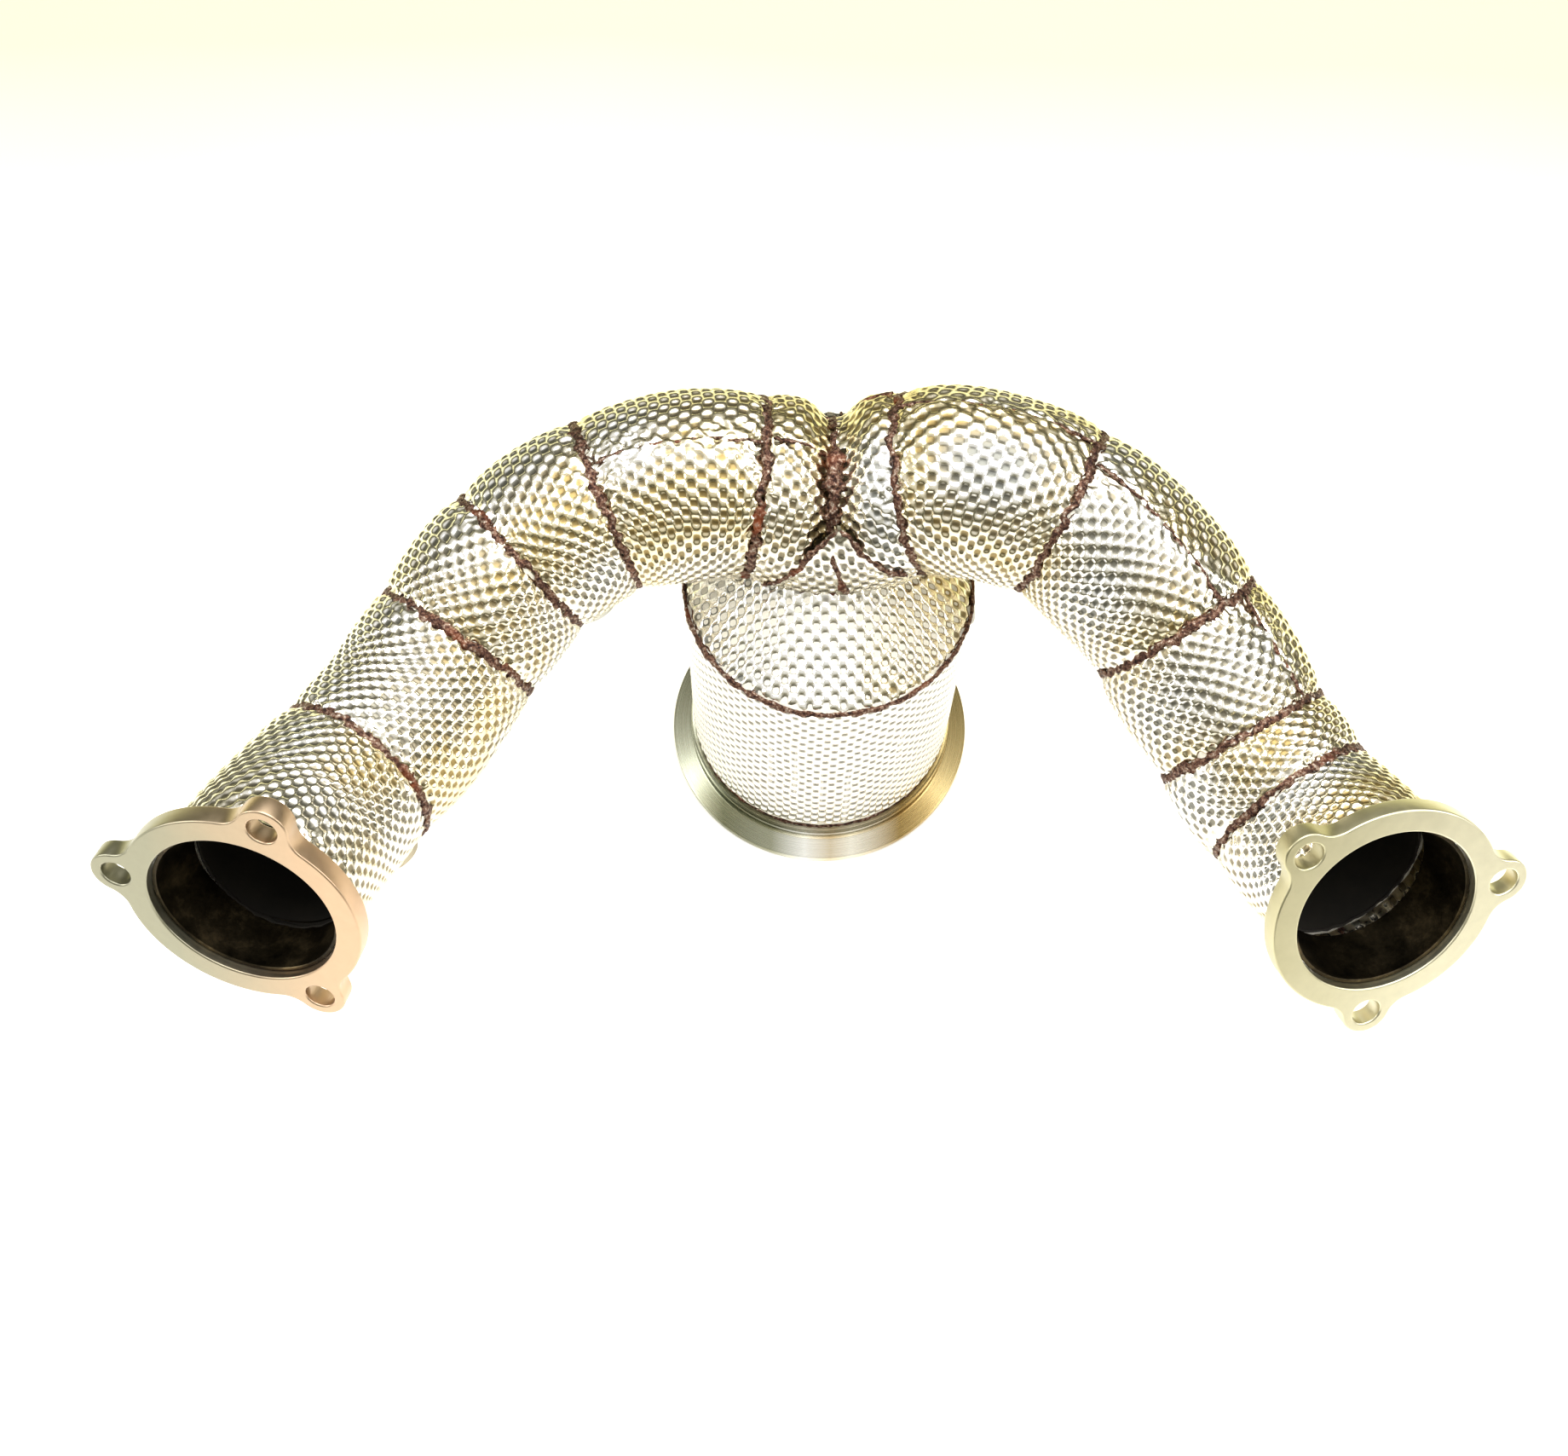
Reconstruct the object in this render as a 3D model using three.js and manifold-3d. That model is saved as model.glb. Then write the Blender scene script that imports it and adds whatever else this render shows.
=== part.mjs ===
// Twin-inlet exhaust manifold. Two heat-wrapped pipes start at three-bolt flanges, meet in a collector
// and feed a short catalyst can that ends in a V-band flange. Millimetres, +Z up along the can's axis,
// with the origin at the centre of the outlet face, on which the part stands.
import * as THREE from "three";
import { mergeVertices } from "three/addons/utils/BufferGeometryUtils.js";
import Module from "manifold-3d";

// ---------- Driving dimensions ----------
const CLEARANCE = 0.3; // gap between pieces that touch, weld or seat on each other
const BEND_SLACK = 0.45; // extra radial gap between the layers of a bent pipe

const BORE_RADIUS = 35; // inlet flange bore
const FLANGE_THICKNESS = 8;
const FLANGE_RIM = 9.5; // disc edge beyond the bore
const BOLT_OFFSET = 11.5; // bolt centres beyond the bore
const BOLT_HOLE_RADIUS = 5.5;
const LUG_RIM = 4; // lug edge beyond the bolt hole
const LUG_BLEND_RADIUS = 10;
const BOLT_STEPS = [0, 98, 229.5]; // degrees of the three bolts, from the first
const EDGE_CHAMFER = 0.7;

const PIPE_RADIUS = 31.75; // outside of the inlet pipes
const PIPE_WALL = 1.5;
const MOUTH_SETBACK = 3.5; // the cone's mouth lies this far behind the flange face
const CONE_COLLAR = 2; // the cone's straight start behind the flange
const CONE_DEPTH = 26; // depth behind the flange face where the cone meets the pipe
const INLET_LEAD = 8; // straight start of each arm's axis, behind the flange face
const SHIELD_GAP = 3.5; // bare metal between each flange and the foil wrap
const MAT_THICKNESS = 1; // fibre mat under the foil
const FOIL_THICKNESS = 0.5;
const SEAM_GAP = 0.6; // between neighbouring foil segments

const CAN_RADIUS = 57.15; // outside of the catalyst can
const CAN_WALL = 1.5;
const CAN_TOP = 135; // where the can meets its inlet cone
const CAN_MAT_THICKNESS = 2;
const BRICK_MAT_THICKNESS = 4.5;
const BRICK_LENGTH = 88;
const BRICK_TOP_GAP = 10; // the brick's end below the can's top

const NECK_RADIUS = 33; // round neck of the collector
const NECK_OFFSET = 20; // the collector's axis lies this far behind the can's
const CONE_STEEPNESS = 0.9938; // the can's inlet cone rises this much per millimetre of radius
const MERGE_RISE = 11; // the pipe axes cross this far above the foot of the neck

const CONE_RISE = 0.5; // upward share of the inlet cone's growth

// Front view of the foil patch that covers the crotch between the two arms: [x, height above the foot
// of the neck].
const SADDLE_OUTLINE = [
  [2, 38], [-9, 25], [-17, 13], [-26, 2], [-27, -19], [30, -19], [30, 15], [23, 19], [13, 27],
];

const VBAND_LIP = 8.75; // the outlet flange's rim stands out this far from its neck
const VBAND_RIM = 3.2; // height of the rim
const VBAND_NECK_WALL = 4;
const VBAND_HEIGHT = 15;
const VBAND_SLOPE = 20; // degrees, the clamping cone
const VBAND_SEAT = 4.5; // height of the step on which the can sits

const BUNG_RADIUS = 12; // sensor boss
const BUNG_BORE = 8.3;
const BUNG_PROUD = 7.5; // beyond the foil

const PIPE_SIDES = 16;
const CAN_SIDES = 32;
const BOSS_SIDES = 12;
const BEND_STEP = 16; // longest straight facet along a bent pipe

// Each arm: flange centre, direction of the flange face, clocking of its first bolt and the pipe axis
// behind it, with heights counted from the foot of the neck, then the foil seams and the pipe joint as depths
// along that axis from the flange face.
const ARMS = {
  left: {
    centre: [-208, -164, 19],
    azimuth: -11,
    elevation: 22.5,
    clocking: 74.5,
    axis: [
      [-196, -123, -1], [-180, -94, -10], [-163, -67, -12], [-147, -40, -6], [-123, -9, 6], [-90, 12, 15],
      [-48, 21, 18],
    ],
    seams: [79, 145, 186, 227, 287],
    joint: 186,
  },
  right: {
    centre: [205, -148, 6],
    azimuth: 16,
    elevation: 33.5,
    clocking: -97.5,
    axis: [
      [195, -122, -9], [182, -100, -15], [167, -77, -13], [147, -46, -2], [124, -17, 12], [92, 7, 24],
      [50, 19, 28],
    ],
    seams: [62, 94, 144, 209, 268],
    joint: 144,
  },
};
// Sensor bosses: on an arm, a depth along its axis and a direction; on the can, a height and a bearing.
const ARM_BUNGS = [
  { name: "flange_sensor_bung", arm: "left", depth: 76, towards: [0.21, -0.34, -0.92] },
  { name: "arm_sensor_bung", arm: "left", depth: 199, towards: [0.37, -0.09, -0.93] },
];
const CAN_BUNG = { name: "can_sensor_bung", height: 84, bearing: 22 };

// ---------- Derived sizes ----------
const FLANGE_RADIUS = BORE_RADIUS + FLANGE_RIM;
const BOLT_CIRCLE_RADIUS = BORE_RADIUS + BOLT_OFFSET;
const LUG_RADIUS = BOLT_HOLE_RADIUS + LUG_RIM;
const PIPE_APOTHEM = Math.cos(Math.PI / PIPE_SIDES);
const around = (radius) => (radius + CLEARANCE + BEND_SLACK) / PIPE_APOTHEM;
const MAT_INNER = around(PIPE_RADIUS);
const MAT_OUTER = MAT_INNER + MAT_THICKNESS;
const FOIL_INNER = around(MAT_OUTER);
const FOIL_OUTER = FOIL_INNER + FOIL_THICKNESS;
const CAN_MAT_INNER = CAN_RADIUS + CLEARANCE;
const CAN_MAT_OUTER = CAN_MAT_INNER + CAN_MAT_THICKNESS;
const CAN_FOIL_INNER = CAN_MAT_OUTER + CLEARANCE;
const CAN_FOIL_OUTER = CAN_FOIL_INNER + FOIL_THICKNESS;
const BRICK_RADIUS = CAN_RADIUS - CAN_WALL - 2 * CLEARANCE - BRICK_MAT_THICKNESS;
const BRICK_TOP = CAN_TOP - BRICK_TOP_GAP;
const VBAND_NECK = CAN_RADIUS + CLEARANCE + VBAND_NECK_WALL;
const VBAND_RADIUS = VBAND_NECK + VBAND_LIP;
const CAN_SHIELD_BOTTOM = VBAND_HEIGHT + SHIELD_GAP;
const SHIELD_START = FLANGE_THICKNESS + SHIELD_GAP;
const CONE_HEIGHT = (CAN_RADIUS - NECK_RADIUS) * CONE_STEEPNESS;
const NECK_BASE = CAN_TOP + CONE_HEIGHT;
const MERGE_HEIGHT = NECK_BASE + MERGE_RISE;
const FAR = 400; // past the whole part
const OVERRUN = 5; // a cutting solid runs on this far past what it cuts
const FUSE = 0.02; // overlap of solids that are joined into one
const MERGE_OVERRUN = 14; // each arm's axis runs on past the middle plane before it is cut there

const radians = THREE.MathUtils.degToRad;
const vector = (p) => new THREE.Vector3(...p);
const overNeck = ([x, y, height]) => new THREE.Vector3(x, y, NECK_BASE + height);

// ---------- Materials ----------
const FINISHES = {
  flange: { color: 0xb9b19c, roughness: 0.38, metalness: 1 },
  pipe: { color: 0x8c8272, roughness: 0.5, metalness: 1 },
  foil: { color: 0xd6d0bd, roughness: 0.28, metalness: 1 },
  mat: { color: 0xd9d3c4, roughness: 0.95, metalness: 0 },
  brick: { color: 0xa39a86, roughness: 0.7, metalness: 0.4 },
};

// ---------- Solids: joining and cutting ----------
const wasm = await Module();
wasm.setup();

function solidOf(geometry) {
  const plain = geometry.clone();
  plain.deleteAttribute("normal");
  plain.deleteAttribute("uv");
  const merged = mergeVertices(plain, 1e-4);
  const vertProperties = merged.attributes.position.array;
  const triVerts = new Uint32Array(merged.index.array);
  return new wasm.Manifold(new wasm.Mesh({ numProp: 3, vertProperties, triVerts }));
}

function geometryOf(solid) {
  const { vertProperties, triVerts } = solid.getMesh();
  const geometry = new THREE.BufferGeometry();
  geometry.setAttribute("position", new THREE.BufferAttribute(vertProperties, 3));
  geometry.setIndex(new THREE.BufferAttribute(triVerts, 1));
  geometry.computeVertexNormals();
  return geometry;
}

const joined = (solids) => solids.reduce((sum, solid) => sum.add(solid));
const cut = (solid, tools) => tools.reduce((rest, tool) => rest.subtract(tool), solid);
// Without the crumbs that are left where two cutting surfaces graze each other.
function largest(solid) {
  return solid.decompose().reduce((most, body) => (body.volume() > most.volume() ? body : most));
}

// ---------- Shapes ----------
// A profile of [radius, height] points turned about Z.
function turned(profile, sides = CAN_SIDES) {
  const points = profile.map(([radius, height]) => new THREE.Vector2(radius, height));
  return new THREE.LatheGeometry(points, sides).rotateX(Math.PI / 2);
}

// A closed ring section between two radii and two heights.
function turnedRing(inner, outer, low, high, sides = CAN_SIDES) {
  return turned([[inner, low], [outer, low], [outer, high], [inner, high], [inner, low]], sides);
}

// A solid of [radius, height] points that starts and ends on the axis.
function turnedPlug(low, high, lowRadius, highRadius = lowRadius, sides = CAN_SIDES) {
  return turned([[0, low], [lowRadius, low], [highRadius, high], [0, high]], sides);
}

// The stretch of a curve between two lengths along it.
class Stretch extends THREE.Curve {
  constructor(curve, from, to) {
    super();
    this.curve = curve;
    this.start = from / curve.getLength();
    this.end = to / curve.getLength();
  }
  getPoint(t, target = new THREE.Vector3()) {
    const share = THREE.MathUtils.lerp(this.start, this.end, t);
    return this.curve.getPointAt(THREE.MathUtils.clamp(share, 0, 1), target);
  }
}

// A round bar or, with an inner radius, a tube along part of a curve.
function swept(curve, from, to, outer, inner = 0) {
  const section = new THREE.Shape().absarc(0, 0, outer, 0, 2 * Math.PI);
  if (inner > 0) section.holes.push(new THREE.Path().absarc(0, 0, inner, 0, 2 * Math.PI, true));
  return new THREE.ExtrudeGeometry(section, {
    extrudePath: new Stretch(curve, from, to),
    steps: Math.ceil((to - from) / BEND_STEP),
    curveSegments: PIPE_SIDES / 2,
  });
}

// The can's inlet cone leans back from the can's axis to the neck's. Growth thickens it on every side,
// and overrun carries its foot straight down.
function leaningCone(growth, overrun = 0) {
  const lean = NECK_OFFSET / CONE_HEIGHT;
  const foot = CAN_TOP + growth * CONE_RISE;
  const slope = turnedPlug(0, CONE_HEIGHT, CAN_RADIUS + growth, NECK_RADIUS + growth);
  slope.applyMatrix4(new THREE.Matrix4().makeShear(0, 0, 0, 0, 0, lean)).translate(0, 0, foot);
  if (overrun === 0) return solidOf(slope);
  return solidOf(slope).add(solidOf(turnedPlug(foot - overrun, foot + FUSE, CAN_RADIUS + growth)));
}

function neckBar(radius, low, high) {
  return solidOf(turnedPlug(low, high, radius).translate(0, NECK_OFFSET, 0));
}

// All space past the middle plane, as seen from one arm; keep is the arm's distance from the plane.
function pastMiddle(arm, keep) {
  const box = new THREE.BoxGeometry(FAR, 2 * FAR, 2 * FAR);
  return solidOf(box.translate(-arm.sign * (FAR / 2 - keep), 0, 0));
}

// A round bar or tube along an arm's axis, ended at the middle plane.
function armBar(arm, from, to, outer, inner = 0, keep = -FUSE) {
  const bar = solidOf(swept(arm.curve, from, to, outer, inner));
  return to < arm.length ? bar : bar.subtract(pastMiddle(arm, keep));
}

// ---------- Model ----------
const manifold = new THREE.Group();
manifold.name = "exhaust_manifold";

function addMesh(name, geometry, finish, parent = manifold) {
  const mesh = new THREE.Mesh(geometry, new THREE.MeshStandardMaterial(FINISHES[finish]));
  mesh.name = name;
  parent.add(mesh);
  return mesh;
}

// ---------- Arms ----------
for (const [side, arm] of Object.entries(ARMS)) {
  const azimuth = radians(arm.azimuth);
  const elevation = radians(arm.elevation);
  arm.sign = side === "left" ? -1 : 1;
  arm.facing = new THREE.Vector3(Math.sin(azimuth), -Math.cos(azimuth), Math.tan(elevation)).normalize();
  const behind = (depth) => overNeck(arm.centre).addScaledVector(arm.facing, -depth);
  const lead = [0, INLET_LEAD / 2, INLET_LEAD].map(behind);
  const last = overNeck(arm.axis.at(-1));
  const merge = new THREE.Vector3(0, NECK_OFFSET, MERGE_HEIGHT);
  const beyond = merge.clone().lerp(last, -MERGE_OVERRUN / merge.distanceTo(last));
  const knots = [...lead, ...arm.axis.map(overNeck), merge, beyond];
  arm.curve = new THREE.CatmullRomCurve3(knots, false, "centripetal");
  arm.curve.arcLengthDivisions = 600;
  arm.length = arm.curve.getLength();
  arm.port = arm.seams.at(-1);
  arm.pipes = [["front", INLET_LEAD, arm.joint - CLEARANCE], ["rear", arm.joint, arm.port - CLEARANCE]];
}
const BOTH_ARMS = Object.values(ARMS);
const pipeEnds = BOTH_ARMS.flatMap((arm) => [
  [arm, arm.joint, arm.port + CLEARANCE],
  [arm, arm.port + CLEARANCE, arm.length],
]);
const foilEnds = BOTH_ARMS.flatMap((arm) => [
  [arm, arm.seams.at(-2) + SEAM_GAP, arm.port + SEAM_GAP],
  [arm, arm.port + SEAM_GAP, arm.length],
]);
const bars = (spans, radius) => joined(spans.map(([arm, from, to]) => armBar(arm, from, to, radius)));

// ---------- Sensor bosses ----------
// A boss stands on the pipe or can at a point of its axis and points outwards.
function bossPlace(foot, direction) {
  const turn = new THREE.Quaternion().setFromUnitVectors(new THREE.Vector3(0, 0, 1), direction);
  return new THREE.Matrix4().compose(foot, turn, new THREE.Vector3(1, 1, 1));
}

function bossTool(place, radius, height) {
  return solidOf(turnedPlug(0, height, radius, radius, BOSS_SIDES).applyMatrix4(place));
}

for (const bung of ARM_BUNGS) {
  const { curve, pipes } = ARMS[bung.arm];
  const share = bung.depth / curve.getLength();
  const along = curve.getTangentAt(share);
  const direction = vector(bung.towards).projectOnPlane(along).normalize();
  bung.place = bossPlace(curve.getPointAt(share), direction);
  bung.top = FOIL_OUTER + BUNG_PROUD;
  bung.seat = joined(pipes.map(([, from, to]) => solidOf(swept(curve, from, to, PIPE_RADIUS + CLEARANCE))));
}
const canBearing = radians(CAN_BUNG.bearing);
const canOut = new THREE.Vector3(Math.cos(canBearing), Math.sin(canBearing), 0);
CAN_BUNG.place = bossPlace(new THREE.Vector3(0, 0, CAN_BUNG.height), canOut);
CAN_BUNG.top = CAN_FOIL_OUTER + BUNG_PROUD;
CAN_BUNG.seat = solidOf(turnedPlug(0, CAN_TOP, CAN_RADIUS + CLEARANCE));

const boreOf = (bung) => bossTool(bung.place, BUNG_BORE, bung.top + OVERRUN);
const roomFor = (bung) => bossTool(bung.place, BUNG_RADIUS + CLEARANCE, bung.top + OVERRUN);
const bungsOf = (side) => ARM_BUNGS.filter((bung) => bung.arm === side);

for (const bung of [...ARM_BUNGS, CAN_BUNG]) {
  const boss = bossTool(bung.place, BUNG_RADIUS, bung.top);
  addMesh(bung.name, geometryOf(cut(boss, [boreOf(bung), bung.seat])), "flange");
}

// ---------- Inlet flanges and cones ----------
function polar(radius, angle) {
  return new THREE.Vector2(radius, 0).rotateAround(new THREE.Vector2(), radians(angle));
}

// Points along an arc in degrees, about one every step.
function arcPoints(x, y, radius, from, to, step) {
  const count = Math.max(2, Math.ceil(Math.abs(to - from) / step));
  return Array.from({ length: count + 1 }, (_, i) => {
    const angle = radians(from + ((to - from) * i) / count);
    return new THREE.Vector2(x + radius * Math.cos(angle), y + radius * Math.sin(angle));
  });
}

// The flange outline: a disc with a round lug at each bolt, blended in by a hollow arc on both sides.
function flangeOutline(clocking) {
  const toBlend = FLANGE_RADIUS + LUG_BLEND_RADIUS;
  const lugToBlend = LUG_RADIUS + LUG_BLEND_RADIUS;
  const toLug = BOLT_CIRCLE_RADIUS;
  const cosine = (toBlend ** 2 + toLug ** 2 - lugToBlend ** 2) / (2 * toBlend * toLug);
  const spread = THREE.MathUtils.radToDeg(Math.acos(cosine));
  const points = [];
  BOLT_STEPS.forEach((step, i) => {
    const angle = clocking + step;
    const next = clocking + (BOLT_STEPS[i + 1] ?? 360 + BOLT_STEPS[0]);
    const lug = polar(toLug, angle);
    const blends = [polar(toBlend, angle - spread), polar(toBlend, angle + spread)];
    const facing = blends.map((blend) => THREE.MathUtils.radToDeg(blend.clone().sub(lug).angle()));
    const lugFrom = angle - ((angle - facing[0] + 720) % 360);
    const lugTo = angle + ((facing[1] - angle + 720) % 360);
    const disc = arcPoints(0, 0, FLANGE_RADIUS, angle + spread, next - spread, 14);
    const into = arcPoints(...blends[0], LUG_BLEND_RADIUS, angle - spread + 180, lugFrom + 180, 40);
    const out = arcPoints(...blends[1], LUG_BLEND_RADIUS, lugTo + 180, angle + spread + 180, 40);
    points.push(...into, ...arcPoints(...lug, LUG_RADIUS, lugFrom, lugTo, 34), ...out, ...disc);
  });
  return points.filter((point, i) => point.distanceTo(points[(i + 1) % points.length]) > 0.01);
}

function flangePlate(clocking) {
  const outline = new THREE.Shape(flangeOutline(clocking));
  outline.holes.push(new THREE.Path(arcPoints(0, 0, BORE_RADIUS, 360, 0, 11.25).slice(1)));
  for (const step of BOLT_STEPS) {
    const hole = polar(BOLT_CIRCLE_RADIUS, clocking + step);
    outline.holes.push(new THREE.Path(arcPoints(...hole, BOLT_HOLE_RADIUS, 360, 0, 36).slice(1)));
  }
  const plate = new THREE.ExtrudeGeometry(outline, {
    depth: FLANGE_THICKNESS - 2 * EDGE_CHAMFER,
    bevelSize: EDGE_CHAMFER,
    bevelOffset: -EDGE_CHAMFER,
    bevelThickness: EDGE_CHAMFER,
    bevelSegments: 1,
  });
  return plate.translate(0, 0, EDGE_CHAMFER - FLANGE_THICKNESS);
}

// The cone's outside from its foot to its mouth, in the flange bore. Heights are negative depths.
function coneOutside(growth) {
  const mouth = BORE_RADIUS - CLEARANCE + growth;
  return [
    [PIPE_RADIUS + growth, -CONE_DEPTH + CLEARANCE],
    [mouth, -FLANGE_THICKNESS - CONE_COLLAR],
    [mouth, -MOUTH_SETBACK],
  ];
}

// The taper leans sideways to meet the bent pipe at foot, a place in the flange's own frame.
function leanedCone(profile, foot) {
  const cone = turned(profile, 2 * PIPE_SIDES);
  const { position } = cone.attributes;
  const shoulder = -FLANGE_THICKNESS - CONE_COLLAR;
  for (let i = 0; i < position.count; i += 1) {
    const share = Math.max(0, (shoulder - position.getZ(i)) / (shoulder + CONE_DEPTH - CLEARANCE));
    position.setX(i, position.getX(i) + share * foot.x);
    position.setY(i, position.getY(i) + share * foot.y);
  }
  return cone;
}

function inletCone(foot) {
  const outside = coneOutside(0);
  const inside = coneOutside(-PIPE_WALL).reverse();
  return leanedCone([...outside, ...inside, outside[0]], foot);
}

function inletConeRoom(foot) {
  const outside = coneOutside(CLEARANCE);
  return leanedCone([[0, outside[0][1]], ...outside, [0, outside.at(-1)[1]]], foot);
}

for (const [side, arm] of Object.entries(ARMS)) {
  const across = new THREE.Vector3(0, 0, 1).cross(arm.facing).normalize();
  const upwards = arm.facing.clone().cross(across);
  const inlet = new THREE.Group();
  inlet.position.copy(overNeck(arm.centre));
  inlet.setRotationFromMatrix(new THREE.Matrix4().makeBasis(across, upwards, arm.facing));
  manifold.add(inlet);
  addMesh(`${side}_inlet_flange`, flangePlate(arm.clocking), "flange", inlet);
  inlet.updateMatrixWorld();
  const foot = inlet.worldToLocal(arm.curve.getPointAt(CONE_DEPTH / arm.length));
  addMesh(`${side}_inlet_cone`, inletCone(foot), "pipe", inlet);
  const inFrontOf = (depth) => {
    const box = new THREE.BoxGeometry(FAR, FAR, FAR).translate(0, 0, FAR / 2 - depth);
    return solidOf(box.applyMatrix4(inlet.matrixWorld));
  };
  arm.pipeFront = inFrontOf(CONE_DEPTH);
  arm.shieldFront = inFrontOf(SHIELD_START);
  arm.coneRoom = solidOf(inletConeRoom(foot).applyMatrix4(inlet.matrixWorld));
}

// ---------- Collector and can inlet cone ----------
const pipeInside = PIPE_RADIUS - PIPE_WALL;
const coneCutter = leaningCone(CLEARANCE, FAR / 2);
const collectorBars = BOTH_ARMS.map((arm) => armBar(arm, arm.port + CLEARANCE, arm.length, PIPE_RADIUS));
const collectorBores = BOTH_ARMS.map((arm) => armBar(arm, arm.port - OVERRUN, arm.length, pipeInside));
const neck = neckBar(NECK_RADIUS, NECK_BASE - OVERRUN, MERGE_HEIGHT);
const neckBore = neckBar(NECK_RADIUS - PIPE_WALL, NECK_BASE - 2 * OVERRUN, MERGE_HEIGHT);
const collector = cut(joined([...collectorBars, neck]), [joined([...collectorBores, neckBore]), coneCutter]);
addMesh("merge_collector", geometryOf(collector), "pipe");

const neckRoom = neckBar(NECK_RADIUS + CLEARANCE, CAN_TOP, FAR);
const pipeRoom = bars(pipeEnds, PIPE_RADIUS + CLEARANCE);
const canCone = cut(leaningCone(0), [leaningCone(-CAN_WALL, OVERRUN), pipeRoom, neckRoom]);
addMesh("can_inlet_cone", geometryOf(canCone), "pipe");

// ---------- Pipes, fibre mats and foil segments of each arm ----------
const shieldGrowth = CAN_FOIL_OUTER - CAN_RADIUS;
const shieldCutter = leaningCone(shieldGrowth + CLEARANCE, FAR / 2);

for (const [side, arm] of Object.entries(ARMS)) {
  const bungs = bungsOf(side);
  for (const [end, from, to] of arm.pipes) {
    const pipe = armBar(arm, from, to, PIPE_RADIUS, pipeInside);
    addMesh(`${side}_${end}_pipe`, geometryOf(cut(pipe, [...bungs.map(boreOf), arm.pipeFront])), "pipe");
  }
  const mats = [
    ["front", CONE_DEPTH + MAT_THICKNESS, arm.joint],
    ["rear", arm.joint + CLEARANCE, arm.length],
  ];
  const taken = [...bungs.map(roomFor), arm.coneRoom, arm.shieldFront, shieldCutter];
  for (const [end, from, to] of mats) {
    const mat = armBar(arm, from, to, MAT_OUTER, MAT_INNER, SEAM_GAP / 2);
    addMesh(`${side}_${end}_mat`, geometryOf(cut(mat, [...taken, neckRoom])), "mat");
  }
  [...arm.seams, arm.length].forEach((to, i) => {
    const from = i === 0 ? INLET_LEAD : arm.seams[i - 1] + SEAM_GAP;
    const foil = armBar(arm, from, to, FOIL_OUTER, FOIL_INNER, SEAM_GAP / 2);
    addMesh(`${side}_foil_${i + 1}`, geometryOf(cut(foil, taken)), "foil");
  });
}

// ---------- Foil over the can's inlet cone and the crotch ----------
const armRoom = bars(foilEnds, FOIL_OUTER + CLEARANCE);
const underFoil = leaningCone(shieldGrowth - FOIL_THICKNESS, OVERRUN);
const topFoil = cut(leaningCone(shieldGrowth), [underFoil, armRoom, neckRoom]);
addMesh("top_foil", geometryOf(largest(topFoil)), "foil");

const underMat = leaningCone(CLEARANCE, OVERRUN);
const topMat = cut(leaningCone(CAN_MAT_OUTER - CAN_RADIUS), [underMat, armRoom, neckRoom]);
addMesh("top_mat", geometryOf(topMat), "mat");

const saddleOutline = new THREE.Shape(SADDLE_OUTLINE.map(([x, z]) => new THREE.Vector2(x, z)).reverse());
const saddleBar = bars(foilEnds, FOIL_OUTER + CLEARANCE + FOIL_THICKNESS);
const saddleSkin = cut(saddleBar, [armRoom, shieldCutter]);
for (const [name, start] of [["front_saddle_foil", -FAR + NECK_OFFSET], ["rear_saddle_foil", NECK_OFFSET]]) {
  const prism = new THREE.ExtrudeGeometry(saddleOutline, { depth: FAR, bevelEnabled: false });
  prism.rotateX(Math.PI / 2).translate(0, start + FAR, NECK_BASE);
  addMesh(name, geometryOf(saddleSkin.intersect(solidOf(prism))), "foil");
}

// ---------- Can, catalyst and outlet flange ----------
const canBore = boreOf(CAN_BUNG);
const canRoom = roomFor(CAN_BUNG);
const canShell = turnedRing(CAN_RADIUS - CAN_WALL, CAN_RADIUS, VBAND_SEAT + CLEARANCE, CAN_TOP - CLEARANCE);
addMesh("can_shell", geometryOf(solidOf(canShell).subtract(canBore)), "pipe");

const shieldTop = CAN_TOP + shieldGrowth * CONE_RISE - SEAM_GAP;
const canMat = turnedRing(CAN_MAT_INNER, CAN_MAT_OUTER, CAN_SHIELD_BOTTOM, CAN_TOP);
addMesh("can_mat", geometryOf(solidOf(canMat).subtract(canRoom)), "mat");
const canFoil = turnedRing(CAN_FOIL_INNER, CAN_FOIL_OUTER, CAN_SHIELD_BOTTOM, shieldTop);
addMesh("can_foil", geometryOf(solidOf(canFoil).subtract(canRoom)), "foil");

const brickBottom = BRICK_TOP - BRICK_LENGTH;
addMesh("catalyst_brick", turnedPlug(brickBottom, BRICK_TOP, BRICK_RADIUS), "brick");
const brickMatInner = BRICK_RADIUS + CLEARANCE;
const brickMat = turnedRing(brickMatInner, brickMatInner + BRICK_MAT_THICKNESS, brickBottom, BRICK_TOP);
addMesh("brick_mat", brickMat, "mat");

// The flange's back slopes for the clamp, and a step inside its neck seats the can.
function outletFlange() {
  const bore = CAN_RADIUS - CAN_WALL;
  const socket = CAN_RADIUS + CLEARANCE;
  const slopeTop = VBAND_RIM + (VBAND_RADIUS - VBAND_NECK) * Math.tan(radians(VBAND_SLOPE));
  return turned([
    [bore, 0],
    [VBAND_RADIUS, 0],
    [VBAND_RADIUS, VBAND_RIM],
    [VBAND_NECK, slopeTop],
    [VBAND_NECK, VBAND_HEIGHT],
    [socket, VBAND_HEIGHT],
    [socket, VBAND_SEAT],
    [bore, VBAND_SEAT],
    [bore, 0],
  ]);
}
addMesh("vband_outlet_flange", outletFlange(), "flange");

export default manifold;
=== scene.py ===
import math
import bmesh
import bpy
import numpy as np
from mathutils import Matrix, Vector
from mathutils.bvhtree import BVHTree


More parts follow.
